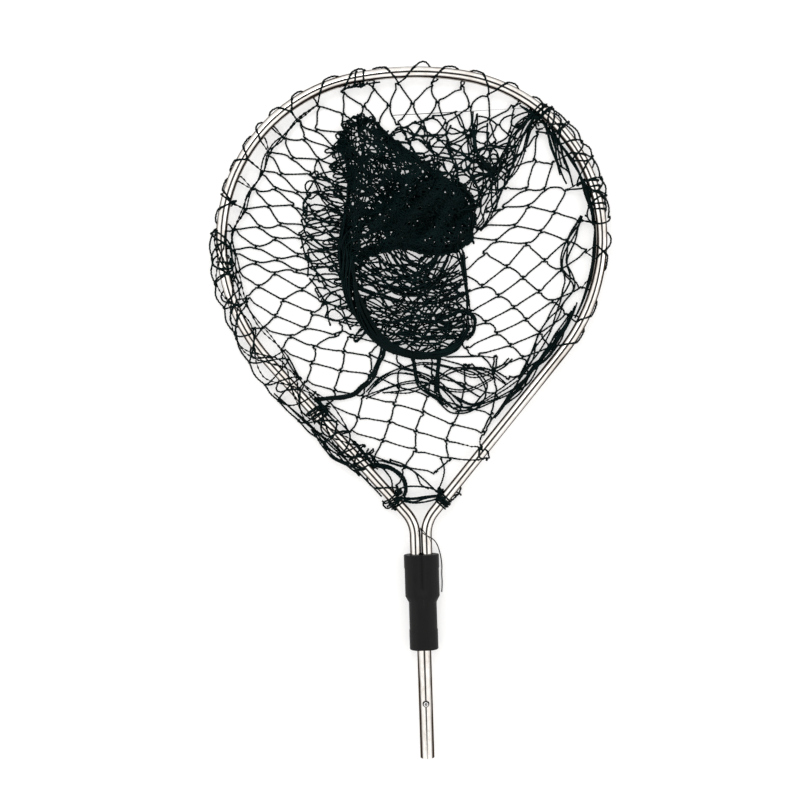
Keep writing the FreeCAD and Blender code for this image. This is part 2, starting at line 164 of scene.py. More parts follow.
def run_lengths(points):
    """Distance along a line from its start to each of its points."""
    return np.concatenate([[0], np.cumsum(np.linalg.norm(np.diff(points, axis=0), axis=1))])


def nearest_on(edge, p):
    """The nearest place on a closed outline to each point, and the square of its distance."""
    start = np.array(edge, float)
    side = np.roll(start, -1, axis=0) - start
    q = p[:, None, :]
    share = np.clip(((q - start) * side).sum(2) / (side * side).sum(1), 0, 1)
    near = start + side * share[:, :, None]
    gap = ((q - near) ** 2).sum(2)
    return near[np.arange(len(p)), gap.argmin(1)], gap.min(1)


def is_outside(edge, p):
    """Which points lie outside a closed outline, by how many of its sides lie beyond them in X."""
    start = np.array(edge, float)
    end = np.roll(start, -1, axis=0)
    x, y = p[:, 0][:, None], p[:, 1][:, None]
    spans = (start[:, 1] > y) != (end[:, 1] > y)
    meets = (end[:, 0] - start[:, 0]) * (y - start[:, 1]) / (end[:, 1] - start[:, 1] + 1e-9)
    return (spans & (x < meets + start[:, 0])).sum(1) % 2 == 0


def summed(p, *shares):
    """Moves of all points, each share given as point numbers and their moves."""
    move = np.zeros_like(p)
    for numbers, moves in shares:
        np.add.at(move, numbers, moves)
    return move


class Netting:
    """Knots joined by bars of twine: each bar is a chain of points with a fixed length."""

    def __init__(self, seed):
        self.rng = np.random.default_rng(seed)
        self.pos, self.free, self.bars = [], [], []

    def knot(self, place, held=False):
        self.pos.append(np.array(place, float))
        self.free.append(0.0 if held else 1.0)
        return len(self.pos) - 1

    def bar(self, a, b, inner=3):
        """Joins two knots by a bar that bows to one side when its ends are near each other."""
        start, end = self.pos[a], self.pos[b]
        span = end - start
        chord = np.linalg.norm(span)
        rise = math.sqrt(max(0.0, BAR * BAR - chord * chord)) * 0.42
        side = np.array([-span[1], span[0]]) / max(chord, 1e-6)
        if chord < 1.0:
            side = heading(self.rng.uniform(0, FULL_TURN))
        sign = self.rng.choice([-1.0, 1.0])
        ids = [a]
        for t in np.arange(1, inner + 1) / (inner + 1):
            place = start + span * t + side * sign * rise * math.sin(math.pi * t)
            ids.append(self.knot(place + self.rng.normal(0, 0.4, 2)))
        self.bars.append((ids + [b], BAR))

    def join(self, grid, inner=3):
        """Joins each knot of a grid to two of the next row; empty places of the grid are None."""
        for r, (row, below) in enumerate(zip(grid, grid[1:])):
            for c, knot in enumerate(row):
                for other in (c - 1 + r % 2, c + r % 2):
                    if 0 <= other < len(below) and knot is not None and below[other] is not None:
                        self.bar(knot, below[other], inner)

    def fit_lengths(self, slack, low, high):
        """Sets each bar's length near its chord, within what a mesh of this netting gives."""
        for k, (ids, _) in enumerate(self.bars):
            chord = np.linalg.norm(self.pos[ids[-1]] - self.pos[ids[0]])
            self.bars[k] = ids, float(np.clip(chord * slack, low, high))

    def relax(self, steps, stiff, edge=None, stray=0.0):
        """Draws all links to their lengths and eases bends, near an outline if one is given."""
        p = np.array(self.pos)
        free = np.array(self.free)
        links = [(*pair, length / (len(ids) - 1)) for ids, length in self.bars for pair in zip(ids, ids[1:])]
        i, j = np.array([link[:2] for link in links]).T
        rest = np.array([link[2] for link in links])
        bends = [bend for ids, _ in self.bars for bend in zip(ids, ids[1:], ids[2:])]
        a, m, b = np.array(bends).T
        meeting = np.maximum(np.bincount(np.concatenate([i, j]), minlength=len(p)), 1.0)[:, None]
        leave = np.random.default_rng(0).uniform(0, stray + 1e-6, len(p)) ** 2
        both = np.maximum(free[i] + free[j], 1e-9)
        w = free[:, None]
        for _ in range(steps):
            d = p[j] - p[i]
            reach = np.linalg.norm(d, axis=1)
            push = (d / np.maximum(reach, 1e-6)[:, None]) * ((reach - rest) / both)[:, None]
            p = p + summed(p, (i, push * w[i]), (j, -push * w[j])) / meeting * 1.4
            ease = ((p[a] + p[b]) / 2 - p[m]) * stiff
            p = p + summed(p, (m, ease * w[m]), (a, -ease / 2 * w[a]), (b, -ease / 2 * w[b]))
            if edge is not None:
                p = drawn_back(p, free, edge, leave)
        self.pos = list(p)


def drawn_back(p, free, edge, leave):
    """Points brought half way back to an outline if they are further outside than their leave."""
    outside = is_outside(edge, p) & (free > 0)
    if outside.any():
        near, gap = nearest_on(edge, p[outside])
        back = np.where(gap > leave[outside], 0.5, 0.0)
        p[outside] += (near - p[outside]) * back[:, None]
    return p


class Strands:
    """Loose lines of twine as lists of 3-D points, and knots as a place and a direction."""

    def __init__(self):
        self.lines = []
        self.knots = []

    def add(self, pts, radius=TWINE):
        self.lines.append((np.array(pts, float), radius))


# ---------------------------------------------------------------- open meshes inside the hoop

# station, offset of the first knots there, then the place that their column of meshes runs to
COLUMN_GUIDES = [
    (-770, 12, 74, -80), (-720, 14, 108, -38), (-676, 15, 136, 6), (-626, 16, 110, 62),
    (-572, 16, -30, 80), (-522, 18, -70, 98), (-475, 20, -84, 122), (-430, 18, -92, 152),
    (-384, 12, -98, 184), (-336, 18, -102, 212), (-290, 25, -102, 242), (-241, 26, -100, 274),
    (-200, 22, -94, 304), (-160, 19, -90, 334), (-116, 15, -78, 364), (-72, 12, -58, 376),
    (-10, 12, -12, 364), (60, 12, 32, 334), (120, 12, 60, 302), (150, 14, 72, 280),
    (184, 16, 108, 292), (215, 34, 124, 290), (250, 34, 120, 268), (300, 30, 108, 240),
    (352, 20, 98, 208), (405, 16, 88, 166), (460, 18, 84, 126), (520, 16, 80, 84),
    (572, 16, 74, 54), (620, 16, 60, 30),
]
# first and last station of a stretch of the hoop, and how many columns of meshes start in it
COLUMN_RUNS = [(-752, -440, 8), (-402, -162, 9), (-126, 150, 8), (176, 194, 3), (250, 572, 8)]
# station, then how long the bars of the netting look from there to the heap
BAR_GUIDES = [(-760, 35), (-560, 33), (-430, 31), (-100, 31), (150, 32), (300, 34), (640, 34)]
# columns before this station run right across the hoop, below the heap
LAST_ACROSS = -600
ROWS = 11
WIDEST_MESH = 52.0
FIRST_GAP = 40.0


def column_places(rng, rims, ends, bar, spacing, half):
    """Knots down one column, or down the one half a mesh further on when half is 1."""
    rim, end = rims.mean(0), ends.mean(0)
    run = np.linalg.norm(end - rim)
    wide = np.minimum(spacing, WIDEST_MESH)
    along, out = 0.0, []
    for r in range(ROWS):
        t = along / run
        if r % 2 == half:
            out.append((rim + (end - rim) * t + rng.normal(0, 1.8, 2), t))
        here = wide[0] + (wide[1] - wide[0]) * min(t, 1.0)
        along += 0.965 * math.sqrt(bar * bar - (here / 2) ** 2)
    return out


def hang_column(net, grid, c, rims, ends, bar, half, across):
    """Knots of one column into the grid; the first, the last and those in the heap are held."""
    pick = [c, min(c + half, len(rims) - 1)]
    gap = [np.linalg.norm(q[pick[1]] - q[max(pick[1] - 1, 0)]) for q in (rims, ends)]
    gap[0] = gap[0] or FIRST_GAP
    column = column_places(net.rng, rims[pick], ends[pick], bar, gap, half)
    column = [place for place in column if place[1] <= (1.06 if across else 1.35)]
    for k, (place, t) in enumerate(column):
        row = 2 * k + half
        grid[row][c] = net.knot(place, held=row == 0 or t > 1.0 or k == len(column) - 1)
    return grid[2 * len(column) - 2 + half][c]


def open_net():
    """The open meshes between the hoop and the heap: netting, first knots and their stations."""
    net = Netting(3)
    stations = np.concatenate([np.linspace(a, b, n) for a, b, n in COLUMN_RUNS])
    guides = look_up(COLUMN_GUIDES, stations)
    bars = look_up(BAR_GUIDES, stations)[:, 0]
    rims = np.array([beside(s, offset) for s, offset in zip(stations, guides[:, 0])])
    grid = [[None] * len(rims) for _ in range(ROWS)]
    lasts = []
    for c, station in enumerate(stations):
        across = station < LAST_ACROSS
        for half in (0, 1):
            last = hang_column(net, grid, c, rims, guides[:, 1:], bars[c], half, across)
            if across:
                lasts.append(last)
    for a, b in zip(lasts, lasts[1:]):
        net.bar(a, b)
    net.join(grid)
    net.fit_lengths(1.075, 24.0, 41.0)
    net.relax(200, 0.22)
    return net, grid[0], stations


# ---------------------------------------------------------------- strands along the hoop

# share of an edge mesh's span and angle round the tube, from its inner side over its top
OVER_TUBE = [(0.06, 20), (0.13, 55), (0.21, 90), (0.28, 125), (0.34, 155)]
# share of the span, and how much of its stand-out an edge mesh has there
OUTSIDE_TUBE = [(0.42, 0.7), (0.52, 1.0), (0.61, 0.8)]
UNDER_TUBE = [(0.7, 200), (0.77, 240), (0.85, 290), (0.92, 335)]
# station, then the least and most that edge meshes there stand out from the tube's centre line
EDGE_RISES = [(-770, 9, 11), (-660, 10, 15), (-560, 12, 19), (-420, 11, 17), (-330, 9, 17), (-120, 9, 15),
              (60, 9, 16), (150, 10, 14), (350, 9, 13), (380, 8.6, 9.5), (760, 8.6, 10.5)]
# station, then how far outside the tube's centre line the outermost knots of the netting lie
LEFT_OUTER = [(-712, 12), (-680, 15), (-648, 17), (-612, 23), (-578, 25), (-545, 24), (-512, 20),
              (-478, 14), (-445, 13), (-412, 15), (-382, 13), (-352, 13)]
RIGHT_OUTER = [(196, 12), (221, 14), (244, 12), (268, 14.5), (294, 13), (319, 12), (346, 11)]
TOP_LEFT_STRAND = [(-134, -18, 9), (-112, -53, 9), (-87, -66, 18), (-70, -71, 19), (-56, -70, 9)]


def round_tube(station, angle, radius=ON_TUBE):
    """A place on a ring round the tube; angle 0 is its inner side and a quarter turn its top."""
    return (*beside(station, math.cos(angle) * radius), MID_Z + math.sin(angle) * radius)


def rim_loop(strands, start, finish, s0, s1, out, over_first):
    """One edge mesh: from a knot over the tube, round its outside and back under it to the next."""
    if not over_first:
        start, finish, s0, s1 = finish, start, s1, s0
    span = s1 - s0
    pts = [(*start, EDGE_Z)]
    pts += [round_tube(s0 + span * share, math.radians(turn)) for share, turn in OVER_TUBE]
    pts += [(*beside(s0 + span * share, -ON_TUBE - (out - ON_TUBE) * rise), 13.0 - 6 * share)
            for share, rise in OUTSIDE_TUBE]
    pts += [round_tube(s0 + span * share, math.radians(turn)) for share, turn in UNDER_TUBE]
    strands.add(catmull([*pts, (*finish, EDGE_Z)], 3))


def rim_loops(strands, rng, firsts, stations):
    """Edge meshes of the netting, threaded on the hoop tube between the first knots."""
    k = 0
    while k < len(stations) - 2:
        low, high = look_up(EDGE_RISES, stations[k])
        if k % 2:
            high = low + (high - low) * 0.3
        single = stations[k + 1] - stations[k] > 38 or stations[k] < -160 or rng.random() < 0.5
        step = 1 if single else 2
        s0 = stations[k] + rng.uniform(-12, 6)
        s1 = s0 + min(max(stations[k + step] - stations[k], 34), 70) + rng.uniform(-4, 10)
        rim_loop(strands, firsts[k], firsts[k + step], s0, s1, rng.uniform(low, high), rng.random() < 0.55)
        k += step


def lacing(strands, rng, s0, s1, count, centres, swings, wave):
    """Strands that swing from side to side across the top of the tube."""
    n = max(8, int(abs(s1 - s0) / 6))
    ss = np.linspace(s0, s1, n)
    middle, swing = spread_over(centres, n), spread_over(swings, n)
    for k in range(count):
        phase = FULL_TURN * (k / count + rng.uniform(-0.08, 0.08))
        noise = smooth_noise(rng, n, 6, 2.2, 1)[:, 0]
        offsets = middle + swing * np.sin(ss / wave * FULL_TURN * (1 if k % 2 else -1) + phase) + noise
        strands.add([(*beside(s, offset), riding(offset)) for s, offset in zip(ss, offsets)])


def braid(strands, rng, s0, s1, count, offsets, spread, wave=60.0, z=6.0):
    """Strands running along the hoop, crossing each other."""
    n = max(6, int(abs(s1 - s0) / 8))
    for _ in range(count):
        ss = np.linspace(s0 + rng.uniform(-15, 15), s1 + rng.uniform(-15, 15), n)
        middle = np.interp(ss, np.linspace(s0, s1, len(offsets)), offsets)
        ends = np.sin(np.linspace(0.15, math.pi - 0.15, n))[:, None]
        noise = smooth_noise(rng, n, wave / 8, spread, 2) * ends
        pts = [(*beside(s, m + o[0]), max(1.2, z + o[1] * 0.5)) for s, m, o in zip(ss, middle, noise)]
        strands.add(catmull(pts, 2))


def edge_line(strands, rng, firsts, count, spread):
    """Strands that wind about each other through the first knots of the netting."""
    line = catmull([(*place, 6.0) for place in firsts], 5)
    n = len(line)
    d = np.gradient(line, axis=0)
    side = np.stack([-d[:, 1], d[:, 0]], 1) / (np.linalg.norm(d[:, :2], axis=1)[:, None] + 1e-9)
    for k in range(count):
        wave = np.sin(np.arange(n) * math.pi / rng.uniform(4, 9) + FULL_TURN * k / count)
        off = spread * wave * (0.6 + 0.5 * rng.random()) + smooth_noise(rng, n, 7, 1.5, 1)[:, 0]
        strands.add(np.column_stack([line[:, :2] + side * off[:, None], 6.0 + 1.2 * np.cos(wave * 2 + k)]))


def across_tube(strands, start, finish, bend):
    """A bar of netting laid over the tube between two places given as station and offset."""
    f = np.linspace(0, 1, 15)
    s = start[0] + (finish[0] - start[0]) * f + bend * np.sin(math.pi * f)
    offsets = start[1] + (finish[1] - start[1]) * (f * f * (3 - 2 * f)) + 1.4 * np.sin(FULL_TURN * f + bend)
    strands.add([(*beside(a, offset), riding(offset)) for a, offset in zip(s, offsets)])


def outer_meshes(strands, rng, knots):
    """A row of meshes drawn over the tube, from knots outside it to each other and to its inside."""
    outer = [(s + rng.normal(0, 3), -out) for s, out in knots]
    inner = [((a[0] + b[0]) / 2 + rng.normal(0, 9), rng.uniform(9, 19)) for a, b in zip(outer, outer[1:])]
    for a, b, knot in zip(outer, outer[1:], inner):
        across_tube(strands, a, knot, rng.normal(0, 7))
        across_tube(strands, b, knot, rng.normal(0, 7))
        sag = rng.uniform(0.5, 5.0)
        hung = [(a[0] + (b[0] - a[0]) * f, a[1] + (b[1] - a[1]) * f - sag * h, EDGE_Z + f)
                for f, h in ((0, 0), (0.3, 0.8), (0.6, 1.0), (1, 0))]
        strands.add(catmull([(*beside(s, offset), z) for s, offset, z in hung], 4))
    for s, offset in outer + inner:
        strands.knots.append(((*beside(s, offset), riding(offset)), (*inward(s), 0.0)))


def bundle_line(strands, rng, route, count, spread, twist, trim=0.0):
    """Several strands of twine following one route, laid round each other."""
    line = catmull(route, 8)
    n = len(line)
    d = np.gradient(line[:, :2], axis=0)
    d /= np.linalg.norm(d, axis=1)[:, None] + 1e-9
    side = np.stack([-d[:, 1], d[:, 0]], 1)
    radius = spread_over(spread, n)
    along = run_lengths(line[:, :2])
    for k in range(count):
        wander = smooth_noise(rng, n, 8, 0.5, 1)[:, 0]
        angle = FULL_TURN * k / count + twist * along / 14.0 + wander * 0.8
        off = radius * np.cos(angle) + wander * np.minimum(radius, 4.0) * 0.5
        z = line[:, 2] + radius * 0.6 * np.sin(angle)
        pts = np.column_stack([line[:, :2] + side * off[:, None], np.maximum(z, LEAST_Z)])
        first = int(n * rng.uniform(0, trim) * 0.5)
        last = n - int(n * rng.uniform(0, trim))
        strands.add(pts[first:last])


def rim_strands(strands, rng, firsts, stations):
    """The edge meshes, the wound edge line, the lacing over the tube and long loose lines."""
    rim_loops(strands, rng, firsts, stations)
    edge_line(strands, rng, [p for p, s in zip(firsts, stations) if -420 < s < -100], 3, 2.3)
    edge_line(strands, rng, [p for p, s in zip(firsts, stations) if -700 < s < -380], 2, 3.0)
    outer_meshes(strands, rng, LEFT_OUTER)
    outer_meshes(strands, rng, RIGHT_OUTER)
    lacing(strands, rng, -690, -345, 3, [2, -2, -4, -2, 3], [9, 14, 16, 13, 8], 132.0)
    bundle_line(strands, rng, TOP_LEFT_STRAND, 4, [2.5, 2.0, 2.0, 1.6], 0.8)
    braid(strands, rng, -740, -560, 2, [-10, -13, -16, -23], 2.2)
    braid(strands, rng, 215, 470, 5, [12, 9, 8, 8, 9], 1.8)


# ---------------------------------------------------------------- the heap and what hangs on it

HEAP_EDGE = [(-82, 353), (-78, 366), (-57, 376), (-41, 367), (-26, 350), (-9, 337), (7, 324), (27, 324),
             (39, 312), (55, 299), (68, 282), (78, 268), (80, 248), (74, 217), (52, 205), (23, 202),
             (-10, 214), (-41, 209), (-79, 194), (-88, 223), (-86, 237), (-82, 253), (-78, 280),
             (-74, 303), (-77, 322), (-89, 341)]
CORE_EDGE = [(-50, 320), (-30, 316), (5, 306), (30, 308), (62, 284), (72, 262), (70, 222), (50, 210),
             (10, 206), (-30, 214), (-66, 206), (-78, 240), (-66, 300)]
FRINGE_EDGE = [(-84, 350), (-100, 330), (-116, 318), (-128, 292), (-134, 262), (-138, 232), (-134, 200),
               (-126, 170), (-114, 140), (-98, 112), (-76, 92), (-56, 108), (-64, 150), (-70, 200),
               (-66, 260), (-66, 310)]
LOWER_EDGE = [(-88, 214), (-84, 170), (-70, 132), (-48, 98), (-22, 78), (20, 70), (50, 74), (70, 94),
              (70, 130), (64, 170), (60, 205), (20, 222), (-40, 222)]
FAN_EDGE = [(-30, 347), (-11, 364), (15, 370), (47, 379), (87, 383), (111, 375), (142, 374), (149, 352),
            (137, 330), (125, 294), (112, 270), (94, 247), (70, 236), (40, 300)]

# patches of drawn-out meshes: centre, slope of the long meshes in degrees, rows, columns, size of a
# mesh along and across the slope, and how far a patch bows
UPPER_PATCHES = [
    ((-58, 344), -52, 9, 3, 32, 8.5), ((-48, 322), -20, 9, 3, 34, 9), ((-38, 300), -60, 16, 5, 32, 7),
    ((-12, 280), -40, 20, 6, 32, 6), ((12, 262), -65, 20, 6, 32, 6), ((10, 240), 5, 17, 6, 32, 6),
    ((-25, 250), 30, 18, 5, 34, 6), ((34, 250), -30, 18, 5, 32, 6), ((-40, 226), -10, 12, 5, 32, 6),
    ((20, 285), -35, 12, 6, 32, 6), ((30, 236), 60, 14, 5, 32, 6),
]
CORE_PATCHES = [
    ((30, 262), 12, 16, 4, 30, 6), ((34, 240), -48, 16, 4, 30, 6), ((20, 250), 72, 16, 4, 30, 6),
    ((-20, 262), -20, 16, 4, 30, 6), ((-30, 240), 45, 14, 4, 30, 6), ((58, 258), -65, 14, 3, 30, 5.5),
    ((50, 236), 15, 13, 3, 30, 5),
]
LOWER_CORE_PATCHES = [((-8, 140), -20, 10, 4, 40, 10), ((10, 120), 24, 5, 3, 40, 11),
                      ((-6, 178), -12, 5, 4, 40, 9)]
LOWER_PATCHES = [((-2, 140), 0, 15, 4, 42, 8.0, 18), ((14, 160), 38, 9, 3, 42, 9.0)]
FRINGE_PATCHES = [
    ((-92, 292), -30, 9, 2, 52, 13), ((-98, 250), -6, 10, 2, 52, 13), ((-96, 222), -28, 8, 2, 50, 13),
    ((-84, 165), -34, 8, 2, 48, 13), ((-80, 140), 4, 4, 2, 46, 14),
]
FAN_PATCHES = [((60, 336), 10, 6, 5, 40, 17), ((78, 322), 62, 6, 3, 46, 17), ((88, 338), -34, 5, 4, 44, 16),
               ((40, 318), -28, 8, 4, 46, 11)]


def skewed_patch(net, noise, inner, centre, slope, rows, cols, along, across, bow=0.0):
    """A patch of netting whose meshes are drawn out in one direction."""
    c, s = heading(math.radians(slope))
    grid = [[None] * cols for _ in range(rows)]
    for r in range(rows):
        for k in range(cols):
            u = (k + 0.5 * (r % 2) - cols / 2) * along
            v = (r - rows / 2) * across + bow * (u / (cols * along / 2)) ** 2
            turned = (u * c - v * s, u * s + v * c)
            grid[r][k] = net.knot(np.array(centre) + turned + net.rng.normal(0, noise, 2))
    net.join(grid, inner)


def settled(seed, patches, noise, lengths, steps, stiff, edge, stray, inner=2):
    """Layers of drawn-out meshes, settled inside an outline."""
    net = Netting(seed)
    for patch in patches:
        skewed_patch(net, noise, inner, *patch)
    net.fit_lengths(*lengths)
    net.relax(steps, stiff, edge, stray)
    return net


FRINGE_ROUTE = [(-30, 352), (-44, 368), (-62, 376), (-80, 364), (-87, 341), (-83, 318), (-84, 292),
                (-90, 262), (-91, 228), (-88, 194), (-85, 150), (-72, 112), (-58, 96)]
# first and last place of the route, loops, least and most they stand out, their heights and their lean
FRINGE_LOOPS = [(0, 5, 16, (2, 9), 4, 16, 0.0), (4, 7, 8, (8, 22), 3, 9, 0.25),
                (6, 11, 12, (10, 26), 4, 10, 0.0), (10, 13, 4, (8, 20), 2, 7, -0.1)]
# outline of a hairpin loop: share of its length, and of its half width
HAIRPIN = [(0, 0.7), (0.55, 1.0), (0.86, 0.85), (1.0, 0.0), (0.88, -0.8), (0.5, -1.0), (0, -0.6)]
HAIRPIN_ROOT = 9.0


def edge_loops(strands, rng, route, count, reach, low, high, lean):
    """Hairpin loops of twine that stand out to the right-hand side of a route."""
    line = catmull(route, 12)
    for k in range(count):
        at = int((k + rng.uniform(0.1, 0.9)) / count * (len(line) - 2))
        d = line[at + 1] - line[at]
        out = heading(math.atan2(-d[0], d[1]) + lean + rng.normal(0, 0.22))
        side = np.array([-out[1], out[0]])
        long, half = rng.uniform(*reach), rng.uniform(2.4, 5.0)
        bend = rng.normal(0, 2.5)
        root = line[at] - out * HAIRPIN_ROOT
        z = rng.uniform(low, high)
        strands.add(catmull([(*(root + out * (long + HAIRPIN_ROOT) * a + side * (half * b + bend * a * a)),
                              z + 1.2 * b) for a, b in HAIRPIN], 4))


# two edges that lines are slung between, how many, their sag at the first and the last, how much they
# wander and their heights at the ends and the middle: nested bowls, flatter lines, then steeper ones
SLUNG_LINES = [
    ([(-8, 205), (-30, 212), (-62, 208)], [(22, 206), (40, 212), (60, 208)], 13, (12, 62), 2.4, (6, 15)),
    ([(-84, 206), (-82, 176), (-72, 140), (-52, 108), (-28, 88)],
     [(62, 184), (66, 150), (70, 120), (71, 100), (60, 86)], 22, (26, 3), 2.8, (2, 11)),
    ([(-78, 206), (-50, 212), (-10, 210)], [(20, 82), (66, 112), (64, 170)], 9, (6, 0), 3.0, (4, 12)),
    ([(-46, 96), (-20, 80), (20, 76)], [(62, 204), (66, 160), (70, 124)], 7, (4, 8), 3.0, (4, 12)),
]
SLUNG_POINTS = 13


def slung_lines(strands, rng, left, right, count, sag, wander, heights):
    """Lines of twine slung between two edges, hanging down the heap and crossing each other."""
    f = np.linspace(0, 1, SLUNG_POINTS)
    for t in (np.arange(count) + 0.5) / count:
        a, b = (catmull(edge, 10)[int(t * 10 * (len(edge) - 1))] for edge in (left, right))
        line = a + (b - a) * f[:, None] + rng.normal(0, 2.0, 2)
        line[:, 1] -= (sag[0] + (sag[1] - sag[0]) * t) * 4 * f * (1 - f)
        line = line + smooth_noise(rng, SLUNG_POINTS, 3, wander, 2)
        z = heights[0] + (heights[1] - heights[0]) * np.sin(math.pi * f) * rng.uniform(0.4, 1.0)
        strands.add(catmull(np.column_stack([line, z]), 3))


def heap_strands(strands, rng):
    """Lines over the thin lower part of the heap, and loops out of its top and left side."""
    for slung in SLUNG_LINES:
        slung_lines(strands, rng, *slung)
    for first, last, *loops in FRINGE_LOOPS:
        edge_loops(strands, rng, FRINGE_ROUTE[first:last], *loops)


# ---------------------------------------------------------------- gathers and loose strands

# long loose loops below the heap, each as the places it passes
LOOSE_LOOPS = [
    [(-64, 23), (-46, 43), (-20, 54), (12, 59), (43, 53), (75, 41), (107, 51), (123, 63)],
    [(-64, 20), (-33, 32), (-1, 39), (30, 30), (55, 14), (78, 8), (106, 23), (132, 40)],
    [(-56, 30), (-27, 47), (5, 44), (36, 27), (68, 24), (100, 38)],
    [(-40, 27), (-8, 26), (20, 35), (46, 50), (69, 54), (94, 48), (117, 32)],
    [(-20, 57), (5, 49), (30, 35), (45, 17), (57, 4)],
    [(12, 59), (37, 45), (62, 29), (81, 16)],
    [(30, 15), (48, 1), (67, -2), (83, 11), (91, 28), (81, 46), (63, 57)],
    [(48, 0), (74, 3), (100, 13), (125, 25)],
]
HEAP_BAND = [(-86, 234, 8), (-85, 205, 8), (-84, 180, 8), (-78, 150, 8), (-64, 119, 7), (-43, 92, 6),
             (-22, 78, 6), (12, 71, 6), (42, 76, 6), (60, 90, 6), (68, 112, 5)]
# route, strands, the bundle's radius along it and twist of the two thick strands
GATHERED_STRAND = ([(-36, 92, 5), (-45, 68, 4), (-56, 45, 4), (-69, 33, 4), (-85, 22, 4), (-110, 20, 5),
                    (-131, 18, 9)], 7, [3.6, 3.0, 2.6, 2.4, 2.2, 1.8, 2.5], 0.8)
NECK_STRAND = ([(-58, -67, 9), (-44, -70, 4), (-30, -76, 4), (-20, -87, 5), (-17, -99, 8), (-20, -109, 11)],
               5, [2.2, 1.8, 1.8, 1.8], 0.8)
# the same for the other bundles, and how much of the route a strand may leave out
BUNDLES = [
    (HEAP_BAND, 22, [7, 9, 8, 7, 4.5, 3.6, 3.6, 3.6], 0.3, 0.2),
    ([(x, y, 3) for x, y, _ in HEAP_BAND], 10, [5, 7, 6, 5, 3.5, 3, 3, 3], 0.6, 0.1),
    ([(24, 116, 8), (44, 120, 9), (62, 127, 9), (77, 116, 7), (75, 98, 5), (62, 88, 5)], 5,
     [3.0, 2.0, 1.6, 1.6, 2.0, 2.5], 0.5, 0.15),
    ([(-72, 250, 12), (-80, 225, 12), (-86, 205, 8)], 14, [14, 10, 7], 0.2, 0.3),
    ([(58, 212, 9), (64, 185, 7), (69, 145, 6), (72, 100, 5)], 5, [5, 3, 2, 3], 0.3, 0.3),
    ([(-4, 84, 6), (-2, 64, 4), (0, 48, 4), (6, 31, 4), (30, 15, 4), (48, 0, 4)], 4,
     [3, 1.5, 1.2, 2.5, 3, 3], 0.6, 0.2),
    ([(28, 84, 6), (30, 66, 4), (28, 47, 4), (26, 28, 4), (30, 13, 4)], 6, [3, 2, 1.8, 2.4, 3], 0.7, 0.2),
    ([(87, 380, 9), (84, 350, 9), (87, 328, 9), (98, 312, 9), (108, 298, 9), (114, 280, 8)], 6,
     [6.0, 1.5, 1.2, 2, 2.5, 8], 0.3, 0.35),
    ([(162, 377, 12), (146, 350, 10), (130, 316, 9), (112, 284, 8), (92, 250, 7), (84, 230, 6)], 6,
     [2, 9, 14, 13, 11, 6], 0.07, 0.0),
    ([(171, 383, 10), (180, 360, 8), (188, 334, 7), (197, 306, 5), (206, 280, 5)], 8,
     [2.5, 5, 6, 5, 3], 0.3, 0.3),
    ([(219, 244, 5), (204, 213, 5), (195, 185, 5), (202, 156, 5), (188, 131, 4), (170, 100, 4),
      (152, 68, 4), (132, 37, 4)], 4, [1, 5, 4, 7, 5, 7, 5, 1], 0.5, 0.0),
]
# outline of a loop that runs out of a gather: share of its length, and of its half width
RAY = [(0, 0.3), (0.3, 0.6), (0.65, 1.0), (0.92, 0.8), (1.0, 0.0), (0.9, -0.8), (0.6, -0.9), (0.25, -0.5),
       (0, -0.3)]
# lines from the last meshes at the bottom to the neck tie
NECK_LINES = [
    [(-66, -53, 4), (-36, -65, 3), (-10, -75, 4), (8, -90, 6), (22, -104, 12)],
    [(-36, -62, 4), (-20, -68, 3), (-4, -80, 4), (2, -94, 6), (12, -100, 11)],
    [(29, -62, 4), (33, -76, 4), (30, -90, 6), (24, -102, 12)],
    [(-60, -56, 4), (-46, -72, 4), (-36, -86, 5), (-34, -98, 8), (-30, -106, 14)],
]
THIN_THREAD = [(-19, 381, 3.0), (70, 382, 6.0), (168, 383, 14.0)]
THREAD_RADIUS = 0.45


def rays(strands, rng, centre, count, headings, reach, top):
    """Slender loops of twine that run out from a gather and back to it."""
    for k in range(count):
        turn = headings[0] + (headings[1] - headings[0]) * (k + rng.uniform(0.2, 0.8)) / count
        out = heading(math.radians(turn))
        side = np.array([-out[1], out[0]])
        long, half = rng.uniform(*reach), rng.uniform(3.0, 7.0)
        strands.add(catmull([(*(np.array(centre) + out * long * a + side * half * b), top - (top - 4) * a)
                             for a, b in RAY], 4))


def loose_loops(strands, rng):
    """Two strands along each loose loop below the heap."""
    for line in LOOSE_LOOPS:
        for _ in range(2):
            shift = rng.normal(0, 2.2, 2)
            pts = [(*(np.array(p) + shift + rng.normal(0, 1.2, 2)), rng.uniform(2, 6)) for p in line]
            strands.add(catmull(pts, 6))


def gathers(strands, rng):
    """The rolled edge of the heap, the gathers and the loose strands between them."""
    for bundle in BUNDLES:
        bundle_line(strands, rng, *bundle)
    rays(strands, rng, (107, 300), 7, (75, 285), (24, 46), 11)
    rays(strands, rng, (168, 380), 3, (195, 235), (30, 52), 12)
    for line in NECK_LINES:
        strands.add(catmull(line, 6))
        strands.knots.append((line[0], (0.0, 1.0, 0.0)))
    strands.add(THIN_THREAD, THREAD_RADIUS)
    loose_loops(strands, rng)


# ---------------------------------------------------------------- meshes of twine

# a twine's section, and the length over which its lobes go once round it
SIDES = 6
LOBES = 3
LOBE_DEPTH = 0.13
LAY_LENGTH = 13.0
# how many radii above the floor the middle of a twine or a knot stays
CLEAR_OF_FLOOR = 1.14
# a knot's core: places along it, and its width there
CORE_STEPS = (-0.98, -0.72, -0.1, 0.55, 0.95)
CORE_WIDTHS = (0.35, 0.85, 1.06, 0.9, 0.35)


